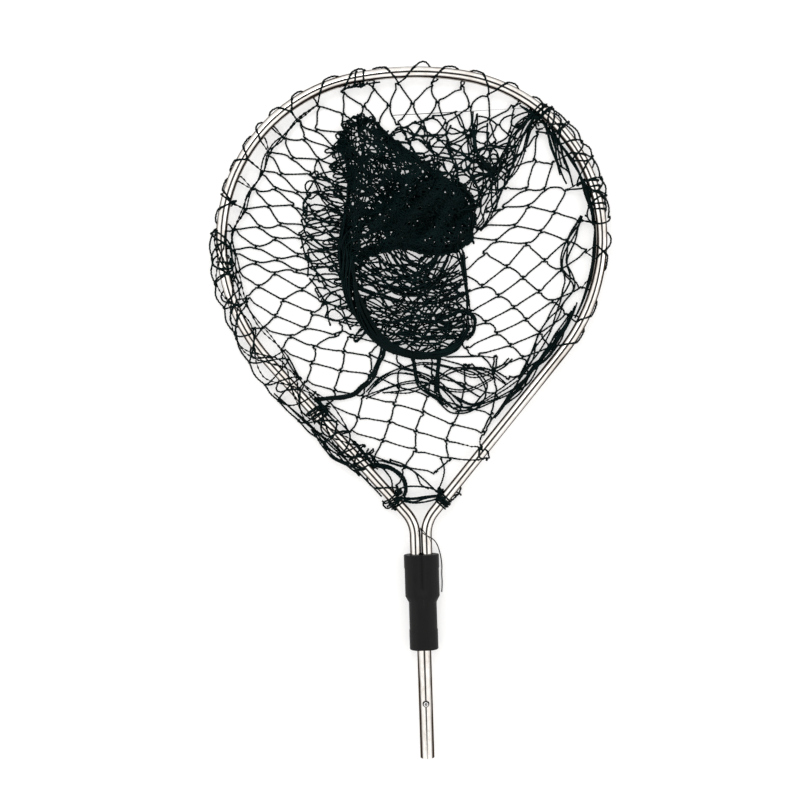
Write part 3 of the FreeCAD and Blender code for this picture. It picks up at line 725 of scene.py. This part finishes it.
def square_to(direction):
    """The unit vector along a direction and two unit vectors square to it."""
    d = np.array(direction, float)
    d /= np.linalg.norm(d) + 1e-12
    a = np.cross(d, (0.0, 0.0, 1.0) if abs(d[2]) < 0.9 else (1.0, 0.0, 0.0))
    a /= np.linalg.norm(a)
    return d, a, np.cross(d, a)


def sides_along(pts):
    """Two unit vectors square to a line at each of its points, without sudden turns."""
    d = np.gradient(pts, axis=0)
    d /= np.linalg.norm(d, axis=1)[:, None] + 1e-12
    side = np.zeros_like(pts)
    s = square_to(d[0])[1]
    for k in range(len(pts)):
        s = s - d[k] * np.dot(s, d[k])
        s /= np.linalg.norm(s) + 1e-12
        side[k] = s
    return side, np.cross(d, side)


def new_object(name, data):
    """An object in the scene, with this mesh, curve, light or camera."""
    obj = bpy.data.objects.new(name, data)
    bpy.context.scene.collection.objects.link(obj)
    return obj


class TwineMesh:
    """Collects laid twine and knots as one mesh."""

    def __init__(self):
        self.verts, self.faces, self.along, self.start = [], [], [], 0

    def skin(self, rings, uv, ends):
        """Quads between successive rings of points, with a cap at each end."""
        steps, sides = len(rings) - 1, len(rings[0])
        near = np.arange(steps)[:, None] * sides + np.arange(sides)[None, :]
        beyond = np.arange(steps)[:, None] * sides + (np.arange(sides)[None, :] + 1) % sides
        quads = np.stack([near, beyond, beyond + sides, near + sides], -1).reshape(-1, 4)
        self.verts.append(rings.reshape(-1, 3))
        self.faces.append(quads + self.start)
        self.along.append(uv)
        self.cap((self.start + np.arange(sides))[::-1], ends[0])
        self.cap(self.start + steps * sides + np.arange(sides), ends[1])
        self.start += (steps + 1) * sides

    def cap(self, ring, u):
        """Closes a twine's end with quads across its section."""
        k = len(ring)
        for q in range(k // 2 - 1):
            self.faces.append(np.array([[ring[q], ring[q + 1], ring[k - 2 - q], ring[k - 1 - q]]]))
            self.along.append(np.array([[u, 0.0], [u, 0.2], [u + 1, 0.4], [u + 1, 0.6]]))

    def tube(self, pts, radius=TWINE, sides=SIDES):
        """Twine along a line; its section has three lobes that turn as it goes."""
        pts = np.array(pts, float)
        pts[:, 2] = np.maximum(pts[:, 2], radius * CLEAR_OF_FLOOR)
        pts = pts[np.concatenate([[True], np.linalg.norm(np.diff(pts, axis=0), axis=1) > 1e-4])]
        if len(pts) < 2:
            return
        length = run_lengths(pts)
        a, b = sides_along(pts)
        angle = np.arange(sides) * FULL_TURN / sides
        reach = (1 + LOBE_DEPTH * np.cos(angle * LOBES)) * radius
        turned = angle[None, :] + length[:, None] * (FULL_TURN / LAY_LENGTH)
        rings = (pts[:, None, :] + a[:, None, :] * (np.cos(turned) * reach)[:, :, None]
                 + b[:, None, :] * (np.sin(turned) * reach)[:, :, None])
        u0, u1 = np.repeat(length[:-1], sides), np.repeat(length[1:], sides)
        v0 = np.tile(np.arange(sides) / sides, len(pts) - 1)
        v1 = v0 + 1 / sides
        uv = np.stack([u0, v0, u0, v1, u1, v1, u1, v0], -1).reshape(-1, 2)
        self.skin(rings, uv, (length[0], length[-1]))

    def lump(self, place, direction, long, wide):
        """A tight knot: an oval ball of twine, drawn out along its direction."""
        place = np.array([place[0], place[1], max(place[2], wide * CLEAR_OF_FLOOR)])
        d, a, b = square_to(direction)
        line = np.array([place + d * long * step for step in CORE_STEPS])
        size = (wide * np.array(CORE_WIDTHS))[:, None]
        turned = np.arange(SIDES) * FULL_TURN / SIDES + np.arange(len(CORE_STEPS))[:, None] * 0.6
        rings = (line[:, None, :] + a * (np.cos(turned) * size)[:, :, None]
                 + b * (np.sin(turned) * size)[:, :, None])
        quads = (len(CORE_STEPS) - 1) * SIDES
        uv = np.tile(np.array([[0.0, 0.0], [0.0, 0.2], [2.0, 0.2], [2.0, 0.0]]), (quads, 1))
        self.skin(rings, uv, (0.0, 2.0))

    def knot(self, place, direction, long=2.2, wide=1.3):
        """A netting knot: a core with a turn of twine wound slantwise round it."""
        self.lump(place, direction, long, wide)
        d, a, b = square_to(direction)
        t = np.linspace(0, FULL_TURN * 1.3, 13)
        self.tube(np.array(place) + np.outer(np.cos(t) * wide, a) + np.outer(np.sin(t) * wide, b)
                  + np.outer((t / t[-1] - 0.5) * long * 1.1, d), TWINE * 0.66, 5)

    def build(self, name):
        """The mesh as an object, with a UV map of distance along the twine and share of a turn round it."""
        mesh = bpy.data.meshes.new(name)
        points = np.vstack(self.verts) * MM
        faces = np.vstack(self.faces)
        mesh.vertices.add(len(points))
        mesh.vertices.foreach_set("co", points.astype(np.float32).ravel())
        mesh.loops.add(len(faces) * 4)
        mesh.loops.foreach_set("vertex_index", faces.astype(np.int32).ravel())
        mesh.polygons.add(len(faces))
        mesh.polygons.foreach_set("loop_start", (np.arange(len(faces)) * 4).astype(np.int32))
        mesh.polygons.foreach_set("loop_total", np.full(len(faces), 4, np.int32))
        layer = mesh.uv_layers.new(name="twine")
        layer.data.foreach_set("uv", np.vstack(self.along).astype(np.float32).ravel())
        mesh.update()
        mesh.validate()
        mesh.shade_smooth()
        return new_object(name, mesh)


def finish_piece(twine, name, *nodes):
    """A piece of twine on the net's body, standing for its CAD nodes."""
    obj = twine.build(name)
    obj.data.materials.append(MATERIALS["green_twine"])
    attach(obj, "net")
    if nodes:
        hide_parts(*nodes)


def heights(net, low, high, edge=None, seed=0, reach=40.0):
    """Heights for a patch of netting: low at its edge, up to high in its middle."""
    p = np.array(net.pos)
    field = np.zeros(len(p))
    for wave_x, wave_y, phase in np.random.default_rng(seed).normal(0, 1, (6, 3)):
        field += np.sin(p[:, 0] * wave_x / 14 + p[:, 1] * wave_y / 14 + phase * 3)
    field = 0.5 + 0.5 * np.tanh(field / 2.2)
    if edge is not None:
        field *= np.sqrt(np.clip(np.sqrt(nearest_on(edge, p)[1]) / reach, 0.02, 1))
    return np.minimum(low + (high - low) * field, TOP_Z)


def knot_axes(net, p):
    """For each knot, the way its core lies and the way its meshes are drawn out."""
    ends = {}
    for ids, _ in net.bars:
        for end, near in ((ids[0], ids[1]), (ids[-1], ids[-2])):
            away = p[near] - p[end]
            ends.setdefault(end, []).append(away / (np.linalg.norm(away) + 1e-9))
    axes = {}
    for k, away in ends.items():
        away = np.array(away)
        if len(away) > 2:
            drawn = np.linalg.eigh(away.T @ away)[1][:, -1] * (1, 1, 0)
        else:
            drawn = np.array([-away[0][1], away[0][0], 0.0])
        drawn = drawn / (np.linalg.norm(drawn) + 1e-9)
        axes[k] = np.array([-drawn[1], drawn[0], 0.0]), drawn
    return axes


KNOT_SIDE = 2.0
KNOT_LEAD = 3.3
HEAP_KNOT = (2.4, 1.6)
STRAND_KNOT = (2.2, 1.6)


def lay_net(twine, net, z, full=False, smooth=2):
    """Netting with heights as twine and knots; with full knots, bars leave them along their meshes."""
    p = np.column_stack([np.array(net.pos), z])
    axes = knot_axes(net, p)
    for ids, _ in net.bars:
        heads = []
        for at, near in ((0, 1), (-1, -2)):
            core, drawn = axes[ids[at]]
            away = p[ids[near]] - p[ids[at]]
            place = p[ids[at]] + core * (KNOT_SIDE if np.dot(away, core) >= 0 else -KNOT_SIDE)
            lead = place + drawn * (KNOT_LEAD if np.dot(away, drawn) >= 0 else -KNOT_LEAD)
            heads.append([place, lead] if full else [place])
        twine.tube(catmull([*heads[0], *p[ids[1:-1]], *heads[1][::-1]], smooth))
    for k, (core, _) in axes.items():
        if full:
            twine.knot(p[k], core)
        else:
            twine.lump(p[k], core, *HEAP_KNOT)


def lay_strands(twine, strands, knots_every=None):
    """Strands as twine, with knots along them where they are lines of netting."""
    for place, direction in strands.knots:
        twine.knot(np.array(place), direction)
    for pts, radius in strands.lines:
        twine.tube(pts, radius)
        if knots_every:
            length = run_lengths(pts)
            for at in np.arange(knots_every * 0.4, length[-1] - 4, knots_every):
                k = int(np.searchsorted(length, at))
                twine.lump(pts[k], pts[min(k + 1, len(pts) - 1)] - pts[k - 1], *STRAND_KNOT)


# ---------------------------------------------------------------- materials

class Nodes:
    """A small helper for building a material's nodes."""

    def __init__(self, name):
        self.mat = bpy.data.materials.new(name)
        self.mat.use_nodes = True
        self.tree = self.mat.node_tree
        self.bsdf = self.tree.nodes["Principled BSDF"]

    def add(self, kind, **settings):
        node = self.tree.nodes.new(kind)
        for key, value in settings.items():
            setattr(node, key, value)
        return node

    def link(self, a, b):
        self.tree.links.new(a, b)

    def set(self, values):
        """Constants on the shader's own inputs."""
        for key, value in values.items():
            self.bsdf.inputs[key].default_value = value

    def math(self, op, a, b=0.5, clamp=False):
        node = self.add("ShaderNodeMath", operation=op, use_clamp=clamp)
        for k, v in enumerate((a, b)):
            if isinstance(v, (int, float)):
                node.inputs[k].default_value = v
            else:
                self.link(v, node.inputs[k])
        return node.outputs[0]

    def scaled(self, value, gain, offset):
        return self.math("ADD", self.math("MULTIPLY", value, gain), offset)

    def weighted(self, a, weight_a, b, weight_b):
        return self.math("ADD", self.math("MULTIPLY", a, weight_a), self.math("MULTIPLY", b, weight_b))

    def ramp(self, value, stops):
        node = self.add("ShaderNodeValToRGB")
        self.link(value, node.inputs[0])
        set_stops(node.color_ramp, stops)
        return node.outputs[0]

    def noise(self, scale, detail, rough, vector=None, stretch=None):
        node = self.add("ShaderNodeTexNoise")
        node.inputs["Scale"].default_value = scale
        node.inputs["Detail"].default_value = detail
        node.inputs["Roughness"].default_value = rough
        if vector is None:
            vector = self.add("ShaderNodeTexCoord").outputs["Object"]
        if stretch:
            mapping = self.add("ShaderNodeMapping")
            mapping.inputs["Scale"].default_value = stretch
            self.link(vector, mapping.inputs["Vector"])
            vector = mapping.outputs[0]
        self.link(vector, node.inputs["Vector"])
        return node.outputs["Fac"]

    def bump(self, height, strength, distance, under=None):
        node = self.add("ShaderNodeBump")
        node.inputs["Strength"].default_value = strength
        node.inputs["Distance"].default_value = distance
        self.link(height, node.inputs["Height"])
        if under is not None:
            self.link(under, node.inputs["Normal"])
        return node.outputs[0]

    def out(self, colour, rough, normal):
        self.link(colour, self.bsdf.inputs["Base Color"])
        self.link(rough, self.bsdf.inputs["Roughness"])
        self.link(normal, self.bsdf.inputs["Normal"])
        return self.mat


def set_stops(ramp, stops):
    """Places and colours of a ramp's stops."""
    while len(ramp.elements) < len(stops):
        ramp.elements.new(0.5)
    for element, (at, colour) in zip(ramp.elements, stops):
        element.position = at
        element.color = (*colour, 1)


# millimetres of twine for a ply to go once round it, and how many plies there are
PLY_TURN = 4.4
PLIES = 3.0


def twine_material(name, dark, mid, light):
    """Laid nylon twine: slanting plies with painted shade in the grooves between them, fine fibres, colour
    that shifts along the line.
    """
    m = Nodes(name)
    uv = m.add("ShaderNodeUVMap", uv_map="twine").outputs[0]
    split = m.add("ShaderNodeSeparateXYZ")
    m.link(uv, split.inputs[0])
    phase = m.weighted(split.outputs["X"], 1 / PLY_TURN, split.outputs["Y"], PLIES)
    ply = m.scaled(m.math("SINE", m.math("MULTIPLY", phase, FULL_TURN), 0), 0.5, 0.5)
    fibre = m.noise(3800, 2, 0.6)
    patches = m.noise(38, 3, 0.6)
    # Painted shade: the colour follows the same ply wave that raises the bump, so the grooves between the
    # plies are painted darker. The fibre noise and the patches are random tone.
    tone = m.weighted(ply, 0.55, fibre, 0.45)
    tone = m.math("MULTIPLY", tone, m.scaled(patches, 0.9, 0.45), True)
    colour = m.ramp(tone, [(0.12, dark), (0.5, mid), (0.92, light)])
    rough = m.scaled(fibre, 0.3, 0.38)
    normal = m.bump(fibre, 0.35, 0.00012, m.bump(ply, 0.55, 0.0005))
    m.set({"IOR": 1.3, "Specular IOR Level": 0.16})
    return m.out(colour, rough, normal)


def metal_material(name, tint, shadow, side, rough_low, rough_high):
    """Polished metal with drawn streaks and fine scratches. Its sides carry painted dark reflection: a band
    where the surface faces part way between up and sideways. The top and the steepest sides keep the
    polished colours.
    """
    m = Nodes(name)
    coords = m.add("ShaderNodeTexCoord").outputs["Object"]
    streaks = m.noise(90, 4, 0.7, coords, (1.0, 1.0, 9.0))
    scratch = m.noise(900, 2, 0.5, coords, (1.0, 0.12, 1.0))
    spots = m.noise(24, 4, 0.65, coords)
    broad = m.noise(11, 2, 0.5, coords)
    bright = tuple(min(1.0, c * 1.06) for c in tint)
    polished = m.ramp(m.weighted(streaks, 0.6, spots, 0.4), [(0.38, shadow), (0.58, tint), (0.8, bright)])
    # Painted reflection: where the true normal points part way between up and sideways, the colour is mixed
    # to the side colour. That is a dark reflection painted into the colour. Broad noise moves the band's
    # upper edge.
    split = m.add("ShaderNodeSeparateXYZ")
    m.link(m.add("ShaderNodeNewGeometry").outputs["True Normal"], split.inputs[0])
    facing_up = split.outputs["Z"]
    painted_band_facing = m.math("ADD", facing_up, m.math("MULTIPLY", m.math("SUBTRACT", broad, 0.5), 0.45))
    above = m.math("MULTIPLY", m.math("SUBTRACT", painted_band_facing, 0.66), 8.0, True)
    below = m.math("MULTIPLY", m.math("SUBTRACT", 0.3, facing_up), 8.0, True)
    amount = m.math("MAXIMUM", above, below)
    mix = m.add("ShaderNodeMix", data_type="RGBA")
    m.link(amount, mix.inputs["Factor"])
    # side is the colour of the painted dark reflection band on the sides
    mix.inputs["A"].default_value = (*side, 1)
    m.link(polished, mix.inputs["B"])
    rough = m.scaled(spots, rough_high - rough_low, rough_low)
    rough = m.math("ADD", rough, m.math("MULTIPLY", scratch, 0.04))
    normal = m.bump(scratch, 0.1, 0.00003, m.bump(streaks, 0.08, 0.0001))
    m.set({"Metallic": 1.0, "Specular Tint": (0.4, 0.37, 0.34, 1)})
    return m.out(mix.outputs["Result"], rough, normal)


def plastic_material(name, dark, mid, light):
    """Black moulded plastic: fine spark-eroded grain, faint scuffs and paler edges."""
    m = Nodes(name)
    grain = m.noise(2200, 3, 0.6)
    cloudy = m.noise(60, 4, 0.6)
    scuff = m.noise(420, 4, 0.75, None, (1.0, 0.08, 1.0))
    pale = m.math("MULTIPLY", m.math("GREATER_THAN", scuff, 0.66), 0.5)
    pointed = m.add("ShaderNodeNewGeometry").outputs["Pointiness"]
    edge = m.math("MULTIPLY", m.math("SUBTRACT", pointed, 0.53, True), 4.0, True)
    tone = m.math("ADD", m.math("MULTIPLY", cloudy, 0.5), m.scaled(grain, 0.2, pale))
    tone = m.math("ADD", tone, edge, True)
    colour = m.ramp(tone, [(0.15, dark), (0.55, mid), (1.0, light)])
    rough = m.math("ADD", m.math("MULTIPLY", cloudy, 0.25), m.scaled(grain, 0.12, 0.36))
    normal = m.bump(grain, 0.35, 0.00012, m.bump(scuff, 0.15, 0.0001))
    m.set({"Specular IOR Level": 0.2})
    return m.out(colour, rough, normal)


def string_material(name, dark, light):
    """Black braided string."""
    m = Nodes(name)
    weave = m.noise(5200, 2, 0.5)
    long = m.noise(900, 3, 0.6)
    colour = m.ramp(m.weighted(weave, 0.6, long, 0.4), [(0.3, dark), (0.8, light)])
    rough = m.scaled(weave, 0.3, 0.45)
    return m.out(colour, rough, m.bump(weave, 0.6, 0.00025))


def floor_material(name, dark, light):
    """Plain surface that shines a little of its own, as bright as the photo's background."""
    m = Nodes(name)
    soft = m.noise(5, 4, 0.5)
    fine = m.noise(700, 2, 0.5)
    colour = m.ramp(soft, [(0.2, dark), (0.8, light)])
    rough = m.scaled(fine, 0.1, 0.6)
    m.set({"Emission Color": (1, 1, 1, 1), "Emission Strength": 0.54})
    return m.out(colour, rough, m.bump(fine, 0.04, 0.0001))


MATERIALS = {
    "green_twine": twine_material("green_twine", (0.0003, 0.0018, 0.002), (0.0007, 0.0055, 0.006),
                                  (0.002, 0.016, 0.016)),
    # For each metal, the third colour is the painted dark reflection on its sides.
    "polished_aluminium": metal_material("polished_aluminium", (0.9, 0.88, 0.86), (0.68, 0.64, 0.6),
                                         (0.045, 0.034, 0.028), 0.02, 0.1),
    "black_plastic": plastic_material("black_plastic", (0.002, 0.0021, 0.0023), (0.0045, 0.0047, 0.005),
                                      (0.018, 0.018, 0.019)),
    "black_string": string_material("black_string", (0.003, 0.003, 0.0035), (0.022, 0.022, 0.024)),
    "spring_steel": metal_material("spring_steel", (0.5, 0.5, 0.52), (0.34, 0.34, 0.36),
                                   (0.2, 0.2, 0.2), 0.22, 0.4),
    "button_steel": metal_material("button_steel", (0.84, 0.84, 0.85), (0.6, 0.6, 0.6),
                                   (0.05, 0.045, 0.04), 0.1, 0.24),
}


# ---------------------------------------------------------------- camera, lights, floor

VIEW_WIDTH = 1.022
CAMERA_CENTRE = (-0.0212, 0.0147)
CAMERA_LENS = 50.0
CAMERA_ROLL = math.radians(-1.75)
SENSOR = 36.0
CLIP_END = 30
FLOOR_SIZE = 20.0
FLOOR_DROP = 0.0002
# place, width and length, power and target of each area light
LIGHTS = {
    "key": ((-0.5, 1.3, 1.9), (0.9, 0.5), 5, (0, 0.1, 0)),
    "left_strip": ((-1.7, 0.2, 1.3), (0.35, 1.8), 1.5, (0, 0, 0)),
    "right_strip": ((1.7, 0.2, 1.3), (0.35, 1.8), 1.5, (0, 0, 0)),
}
# how bright the studio is from straight below to straight above, and how warm
SKY = [(0.0, 0.62), (0.12, 0.6), (0.24, 0.72), (0.34, 1.0), (0.7, 1.0), (0.925, 1.0), (0.95, 0.05),
       (1.0, 0.03)]
SKY_TINT = (1, 0.985, 0.965)
SKY_STRENGTH = 1.26


def make_camera():
    data = bpy.data.cameras.new("camera")
    data.lens = CAMERA_LENS
    data.sensor_width = SENSOR
    data.clip_end = CLIP_END
    cam = new_object("camera", data)
    cam.location = (*CAMERA_CENTRE, VIEW_WIDTH * CAMERA_LENS / SENSOR + MID_Z * MM)
    cam.rotation_euler = (0, 0, CAMERA_ROLL)
    bpy.context.scene.camera = cam


def area_light(name, place, size, power, target):
    data = bpy.data.lights.new(name, "AREA")
    data.shape = "RECTANGLE"
    data.size, data.size_y = size
    data.energy = power
    obj = new_object(name, data)
    obj.location = place
    obj.rotation_euler = (Vector(target) - Vector(place)).to_track_quat("-Z", "Y").to_euler()


def make_world():
    """A studio that is bright all round, with a dark patch straight above for the metal to reflect."""
    world = bpy.data.worlds.new("studio")
    world.use_nodes = True
    tree = world.node_tree
    coords = tree.nodes.new("ShaderNodeTexCoord")
    split = tree.nodes.new("ShaderNodeSeparateXYZ")
    ramp = tree.nodes.new("ShaderNodeValToRGB")
    tree.links.new(coords.outputs["Generated"], split.inputs[0])
    tree.links.new(split.outputs["Z"], ramp.inputs[0])
    set_stops(ramp.color_ramp, [(at, [bright * part for part in SKY_TINT]) for at, bright in SKY])
    back = tree.nodes["Background"]
    tree.links.new(ramp.outputs[0], back.inputs[0])
    back.inputs[1].default_value = SKY_STRENGTH
    bpy.context.scene.world = world


def make_stage():
    mesh = bpy.data.meshes.new("floor")
    corners = [(x * FLOOR_SIZE, y * FLOOR_SIZE, 0) for x, y in ((-1, -1), (1, -1), (1, 1), (-1, 1))]
    mesh.from_pydata(corners, [], [(0, 1, 2, 3)])
    floor = new_object("floor", mesh)
    floor.location.z = -FLOOR_DROP
    mesh.materials.append(floor_material("floor", (0.5, 0.5, 0.5), (0.52, 0.52, 0.52)))
    make_world()
    for name, details in LIGHTS.items():
        area_light(name, *details)
    bpy.context.scene.view_settings.view_transform = "Standard"


# ---------------------------------------------------------------- the string through the fork

# in metres, from between the hoop's legs over the right one to the loose end beside the yoke
STRING_POINTS = [
    (0.0, -0.150, 0.009), (0.0, -0.151, 0.0165), (0.0015, -0.1545, 0.022), (0.008, -0.1585, 0.0236),
    (0.015, -0.1625, 0.0215), (0.0195, -0.1685, 0.015), (0.0225, -0.1765, 0.008), (0.025, -0.187, 0.003),
    (0.0264, -0.199, 0.0013), (0.0256, -0.211, 0.00095), (0.0262, -0.223, 0.0009), (0.025, -0.234, 0.00095),
]
STRING_WIDTH = 0.0015


def make_string():
    curve = bpy.data.curves.new("fork_string_cord", "CURVE")
    curve.dimensions = "3D"
    spline = curve.splines.new("NURBS")
    spline.points.add(len(STRING_POINTS) - 1)
    for p, at in zip(spline.points, STRING_POINTS):
        p.co = (*at, 1)
    spline.order_u = 3
    spline.use_endpoint_u = True
    spline.resolution_u = 8
    curve.bevel_depth = STRING_WIDTH / 2
    curve.bevel_resolution = 3
    curve.use_fill_caps = True
    obj = new_object("fork_string_cord", curve)
    curve.materials.append(MATERIALS["black_string"])
    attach(obj, "net")
    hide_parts("fork_string")


# ---------------------------------------------------------------- lashings and ties

WOUND_RADIUS = 8.2
CLUMP_OFFSET = 10.5
# heights of a loose end at its root, its middle and its tip
TAIL_HEIGHTS = (8.0, 5.6, 2.0)
# station, length along the tube and turns of each lashing
LASHINGS = {
    "lashing_top_left": (-60, 20, 2), "lashing_top_right": (184, 18, 3),
    "lashing_right_inner": (297, 16, 2), "lashing_right_outer": (326, 14, 2),
    "lashing_left_upper": (-304, 16, 1), "lashing_left_lower": (-387, 18, 2),
    "lashing_bottom_left": (-618, 20, 4), "lashing_neck_left": (-700, 26, 3),
}
NECK_STATION = 769
# twine of the neck tie: over the fork, and a loose loop on each side
NECK_TIE_LINES = [
    [(-27, -112, 12), (-25, -99, 12), (-8, -96, 12), (14, -99, 12), (28, -106, 12)],
    [(-30, -116, 14), (-40, -113, 9), (-47, -118, 5), (-42, -124, 4), (-33, -120, 8)],
    [(32, -112, 14), (44, -105, 9), (53, -100, 6), (50, -108, 4), (40, -117, 5), (31, -118, 10)],
]


def wound(twine, rng, station, length, turns, radius=WOUND_RADIUS):
    """Twine wound round the hoop tube, over a stretch of it."""
    n = turns * 14
    share = np.linspace(0, 1, n)
    angles = share * turns * FULL_TURN + rng.uniform(0, 6)
    wobble = smooth_noise(rng, n, 9, 0.5, 2)
    stations = station + (share - 0.5) * length + wobble[:, 0]
    reaches = radius + np.abs(wobble[:, 1])
    twine.tube([round_tube(*place) for place in zip(stations, angles, reaches)])


def tails(twine, rng, start, count, reach, turn):
    """Loose ends of twine from one place, more or less in one direction."""
    start = np.array(start)
    for _ in range(count):
        out = heading(turn + rng.normal(0, 0.9))
        long = rng.uniform(0.5, 1.0) * reach
        end = start + long * out
        middle = (start + end) / 2 + rng.normal(0, long * 0.18, 2)
        twine.tube(catmull(np.column_stack([[start, middle, end], TAIL_HEIGHTS]), 5))


def hitch(twine, rng, centre, size, turns):
    """A knot of several turns in different directions round one place."""
    for _ in range(turns):
        axis = rng.normal(0, 1, 3)
        axis /= np.linalg.norm(axis)
        a = np.cross(axis, (0.3, 0.2, 1.0))
        a /= np.linalg.norm(a)
        b = np.cross(axis, a)
        t = np.linspace(0, FULL_TURN * 1.15, 16)
        r = size * rng.uniform(0.75, 1.1)
        twine.tube(np.array(centre) + np.outer(np.cos(t) * r, a) + np.outer(np.sin(t) * r * 0.7, b)
                   + np.outer(t * 0.3, axis))


def make_lashings():
    """Where edge meshes are drawn together: turns over the tube and a clump of strands inside it."""
    rng = np.random.default_rng(77)
    for name, (station, length, turns) in LASHINGS.items():
        twine = TwineMesh()
        wound(twine, rng, station, length, turns)
        if turns > 2:
            wound(twine, rng, station, length * 0.7, 2, 9.8)
        inner = beside(station, CLUMP_OFFSET)
        hitch(twine, rng, (*inner, MID_Z + 1), 2.4, 1 + turns)
        if turns > 1:
            strands = Strands()
            ends = station - length * 0.8, station + length * 0.8
            braid(strands, rng, *ends, 2 + turns, [CLUMP_OFFSET], 1.5, wave=50, z=13.0)
            lay_strands(twine, strands)
        if turns > 2:
            direction = inward(station)
            tails(twine, rng, inner, 3, 15, math.atan2(direction[1], direction[0]))
        finish_piece(twine, name + "_twine", name)


def make_neck_tie():
    """Turns and knots on both legs at the neck, the twine between them and its loose ends."""
    rng = np.random.default_rng(78)
    twine = TwineMesh()
    for side in (-1, 1):
        wound(twine, rng, side * NECK_STATION, 15, 5)
        wound(twine, rng, side * NECK_STATION, 9, 3, 9.7)
        hitch(twine, rng, (*beside(side * NECK_STATION, 2), MID_Z + 8.4), 3.6, 3)
        hitch(twine, rng, (*beside(side * (NECK_STATION - 7), 11), MID_Z), 4.0, 4)
    for k in range(4):
        y = -112.5 - 1.9 * (k % 3)
        sag = rng.uniform(-1.5, 1.5, 4)
        z = 10.5 + 1.7 * (k // 2) + rng.uniform(-0.4, 0.4, 4)
        line = [(-25, y + 3), (-9, y - 1 + sag[1] * 2), (8, y + 1 + sag[2] * 2), (25, y + 4)]
        twine.tube(catmull(np.column_stack([line, z]), 6))
    for line in NECK_TIE_LINES:
        twine.tube(catmull(line, 6))
    tails(twine, rng, (34, -114), 4, 20, 0.2)
    tails(twine, rng, (-34, -114), 3, 14, 3.0)
    finish_piece(twine, "neck_tie_twine", "neck_tie")


# ---------------------------------------------------------------- the netting

def lift_over_leg(net, z):
    """The last meshes at the lower right are hooked over the hoop's leg."""
    foot, across = beside(690, 0), inward(690)
    for k, p in enumerate(net.pos):
        offset = float(np.dot(p - foot, across))
        if p[0] > 60 and p[1] < -40 and offset < 15:
            z[k] = riding(offset)


def make_open_net(net, first_ids):
    """The open meshes, low on the surface, from the edge meshes' knots to the heap."""
    z = 1.4 + 0.9 * np.random.default_rng(1).random(len(net.pos))
    z[first_ids] = EDGE_Z
    lift_over_leg(net, z)
    twine = TwineMesh()
    lay_net(twine, net, z, full=True)
    finish_piece(twine, "netting", "net_skirt")


def make_strand_piece(name, node, seed, lay, *details):
    """A piece made of strands only, which the function lay makes from these details."""
    twine = TwineMesh()
    strands = Strands()
    lay(strands, np.random.default_rng(seed), *details)
    lay_strands(twine, strands)
    finish_piece(twine, name, node)


def make_gathers():
    """Gathers and loose strands, and the open meshes between the heap and the top right lashing."""
    twine = TwineMesh()
    strands = Strands()
    gathers(strands, np.random.default_rng(5))
    lay_strands(twine, strands)
    net = settled(41, FAN_PATCHES, 3.0, (1.08, 22.0, 31.0), 70, 0.24, FAN_EDGE, 4.0, 3)
    lay_net(twine, net, heights(net, 1.5, 12, seed=2))
    finish_piece(twine, "gathered_meshes")


def make_core():
    """Deep layers of the heap, seen only between the strands of the upper ones."""
    twine = TwineMesh()
    net = settled(61, CORE_PATCHES, 3.8, (1.12, 12.0, 31.0), 40, 0.2, CORE_EDGE, 2.0)
    lay_net(twine, net, heights(net, 1.5, 20.0, CORE_EDGE, 3), smooth=1)
    net = settled(62, LOWER_CORE_PATCHES, 3.8, (1.12, 12.0, 31.0), 40, 0.2, LOWER_EDGE, 2.0)
    lay_net(twine, net, heights(net, 1.3, 6.0, LOWER_EDGE, 4), smooth=1)
    finish_piece(twine, "heap_core")


def make_heap():
    """The thick upper part of the heap, and the thin lower part with the meshes on its left side."""
    twine = TwineMesh()
    net = settled(11, UPPER_PATCHES, 3.8, (1.14, 12.0, 31.0), 60, 0.2, HEAP_EDGE, 7.0)
    lay_net(twine, net, heights(net, 2.0, 33.0, HEAP_EDGE, 4))
    finish_piece(twine, "upper_heap", "net_bunch")
    twine = TwineMesh()
    net = settled(31, LOWER_PATCHES, 2.4, (1.05, 14.0, 31.0), 40, 0.3, LOWER_EDGE, 2.0)
    lay_net(twine, net, heights(net, 1.5, 14.0, LOWER_EDGE, 5, 30))
    net = settled(51, FRINGE_PATCHES, 3.2, (1.1, 20.0, 34.0), 50, 0.2, FRINGE_EDGE, 8.0, 3)
    lay_net(twine, net, heights(net, 1.5, 9.0, seed=6))
    strands = Strands()
    heap_strands(strands, np.random.default_rng(8))
    lay_strands(twine, strands, 30.0)
    finish_piece(twine, "lower_heap", "net_tail")


def make_netting():
    net, first_ids, stations = open_net()
    firsts = [net.pos[k] for k in first_ids]
    make_open_net(net, first_ids)
    make_strand_piece("rim_twine", "rim_meshes", 6, rim_strands, firsts, stations)
    make_strand_piece("right_bundle_twine", "right_bundle", 9, braid, 470, 640, 9, [16, 15, 15], 4.5, 50)
    make_strand_piece("gathered_twine", "gathered_strand", 10, bundle_line, *GATHERED_STRAND)
    make_strand_piece("neck_twine", "neck_strand", 11, bundle_line, *NECK_STRAND)
    make_gathers()
    make_core()
    make_heap()


# slots of the CAD pieces that stay visible
FINISHES = {
    "hoop_tube": "polished_aluminium", "spigot_tube": "polished_aluminium", "yoke": "black_plastic",
    "leg_pin_left": "spring_steel", "leg_pin_right": "spring_steel", "spigot_pin": "spring_steel",
    "clip_base": "spring_steel", "clip_arm": "spring_steel", "snap_button": "button_steel",
}


def dress_frame():
    """Better materials on the CAD pieces that stay visible."""
    for node, slot in FINISHES.items():
        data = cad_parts[node].data
        data.materials.clear()
        data.materials.append(MATERIALS[slot])


make_camera()
make_string()
make_stage()
make_lashings()
make_neck_tie()
make_netting()
dress_frame()
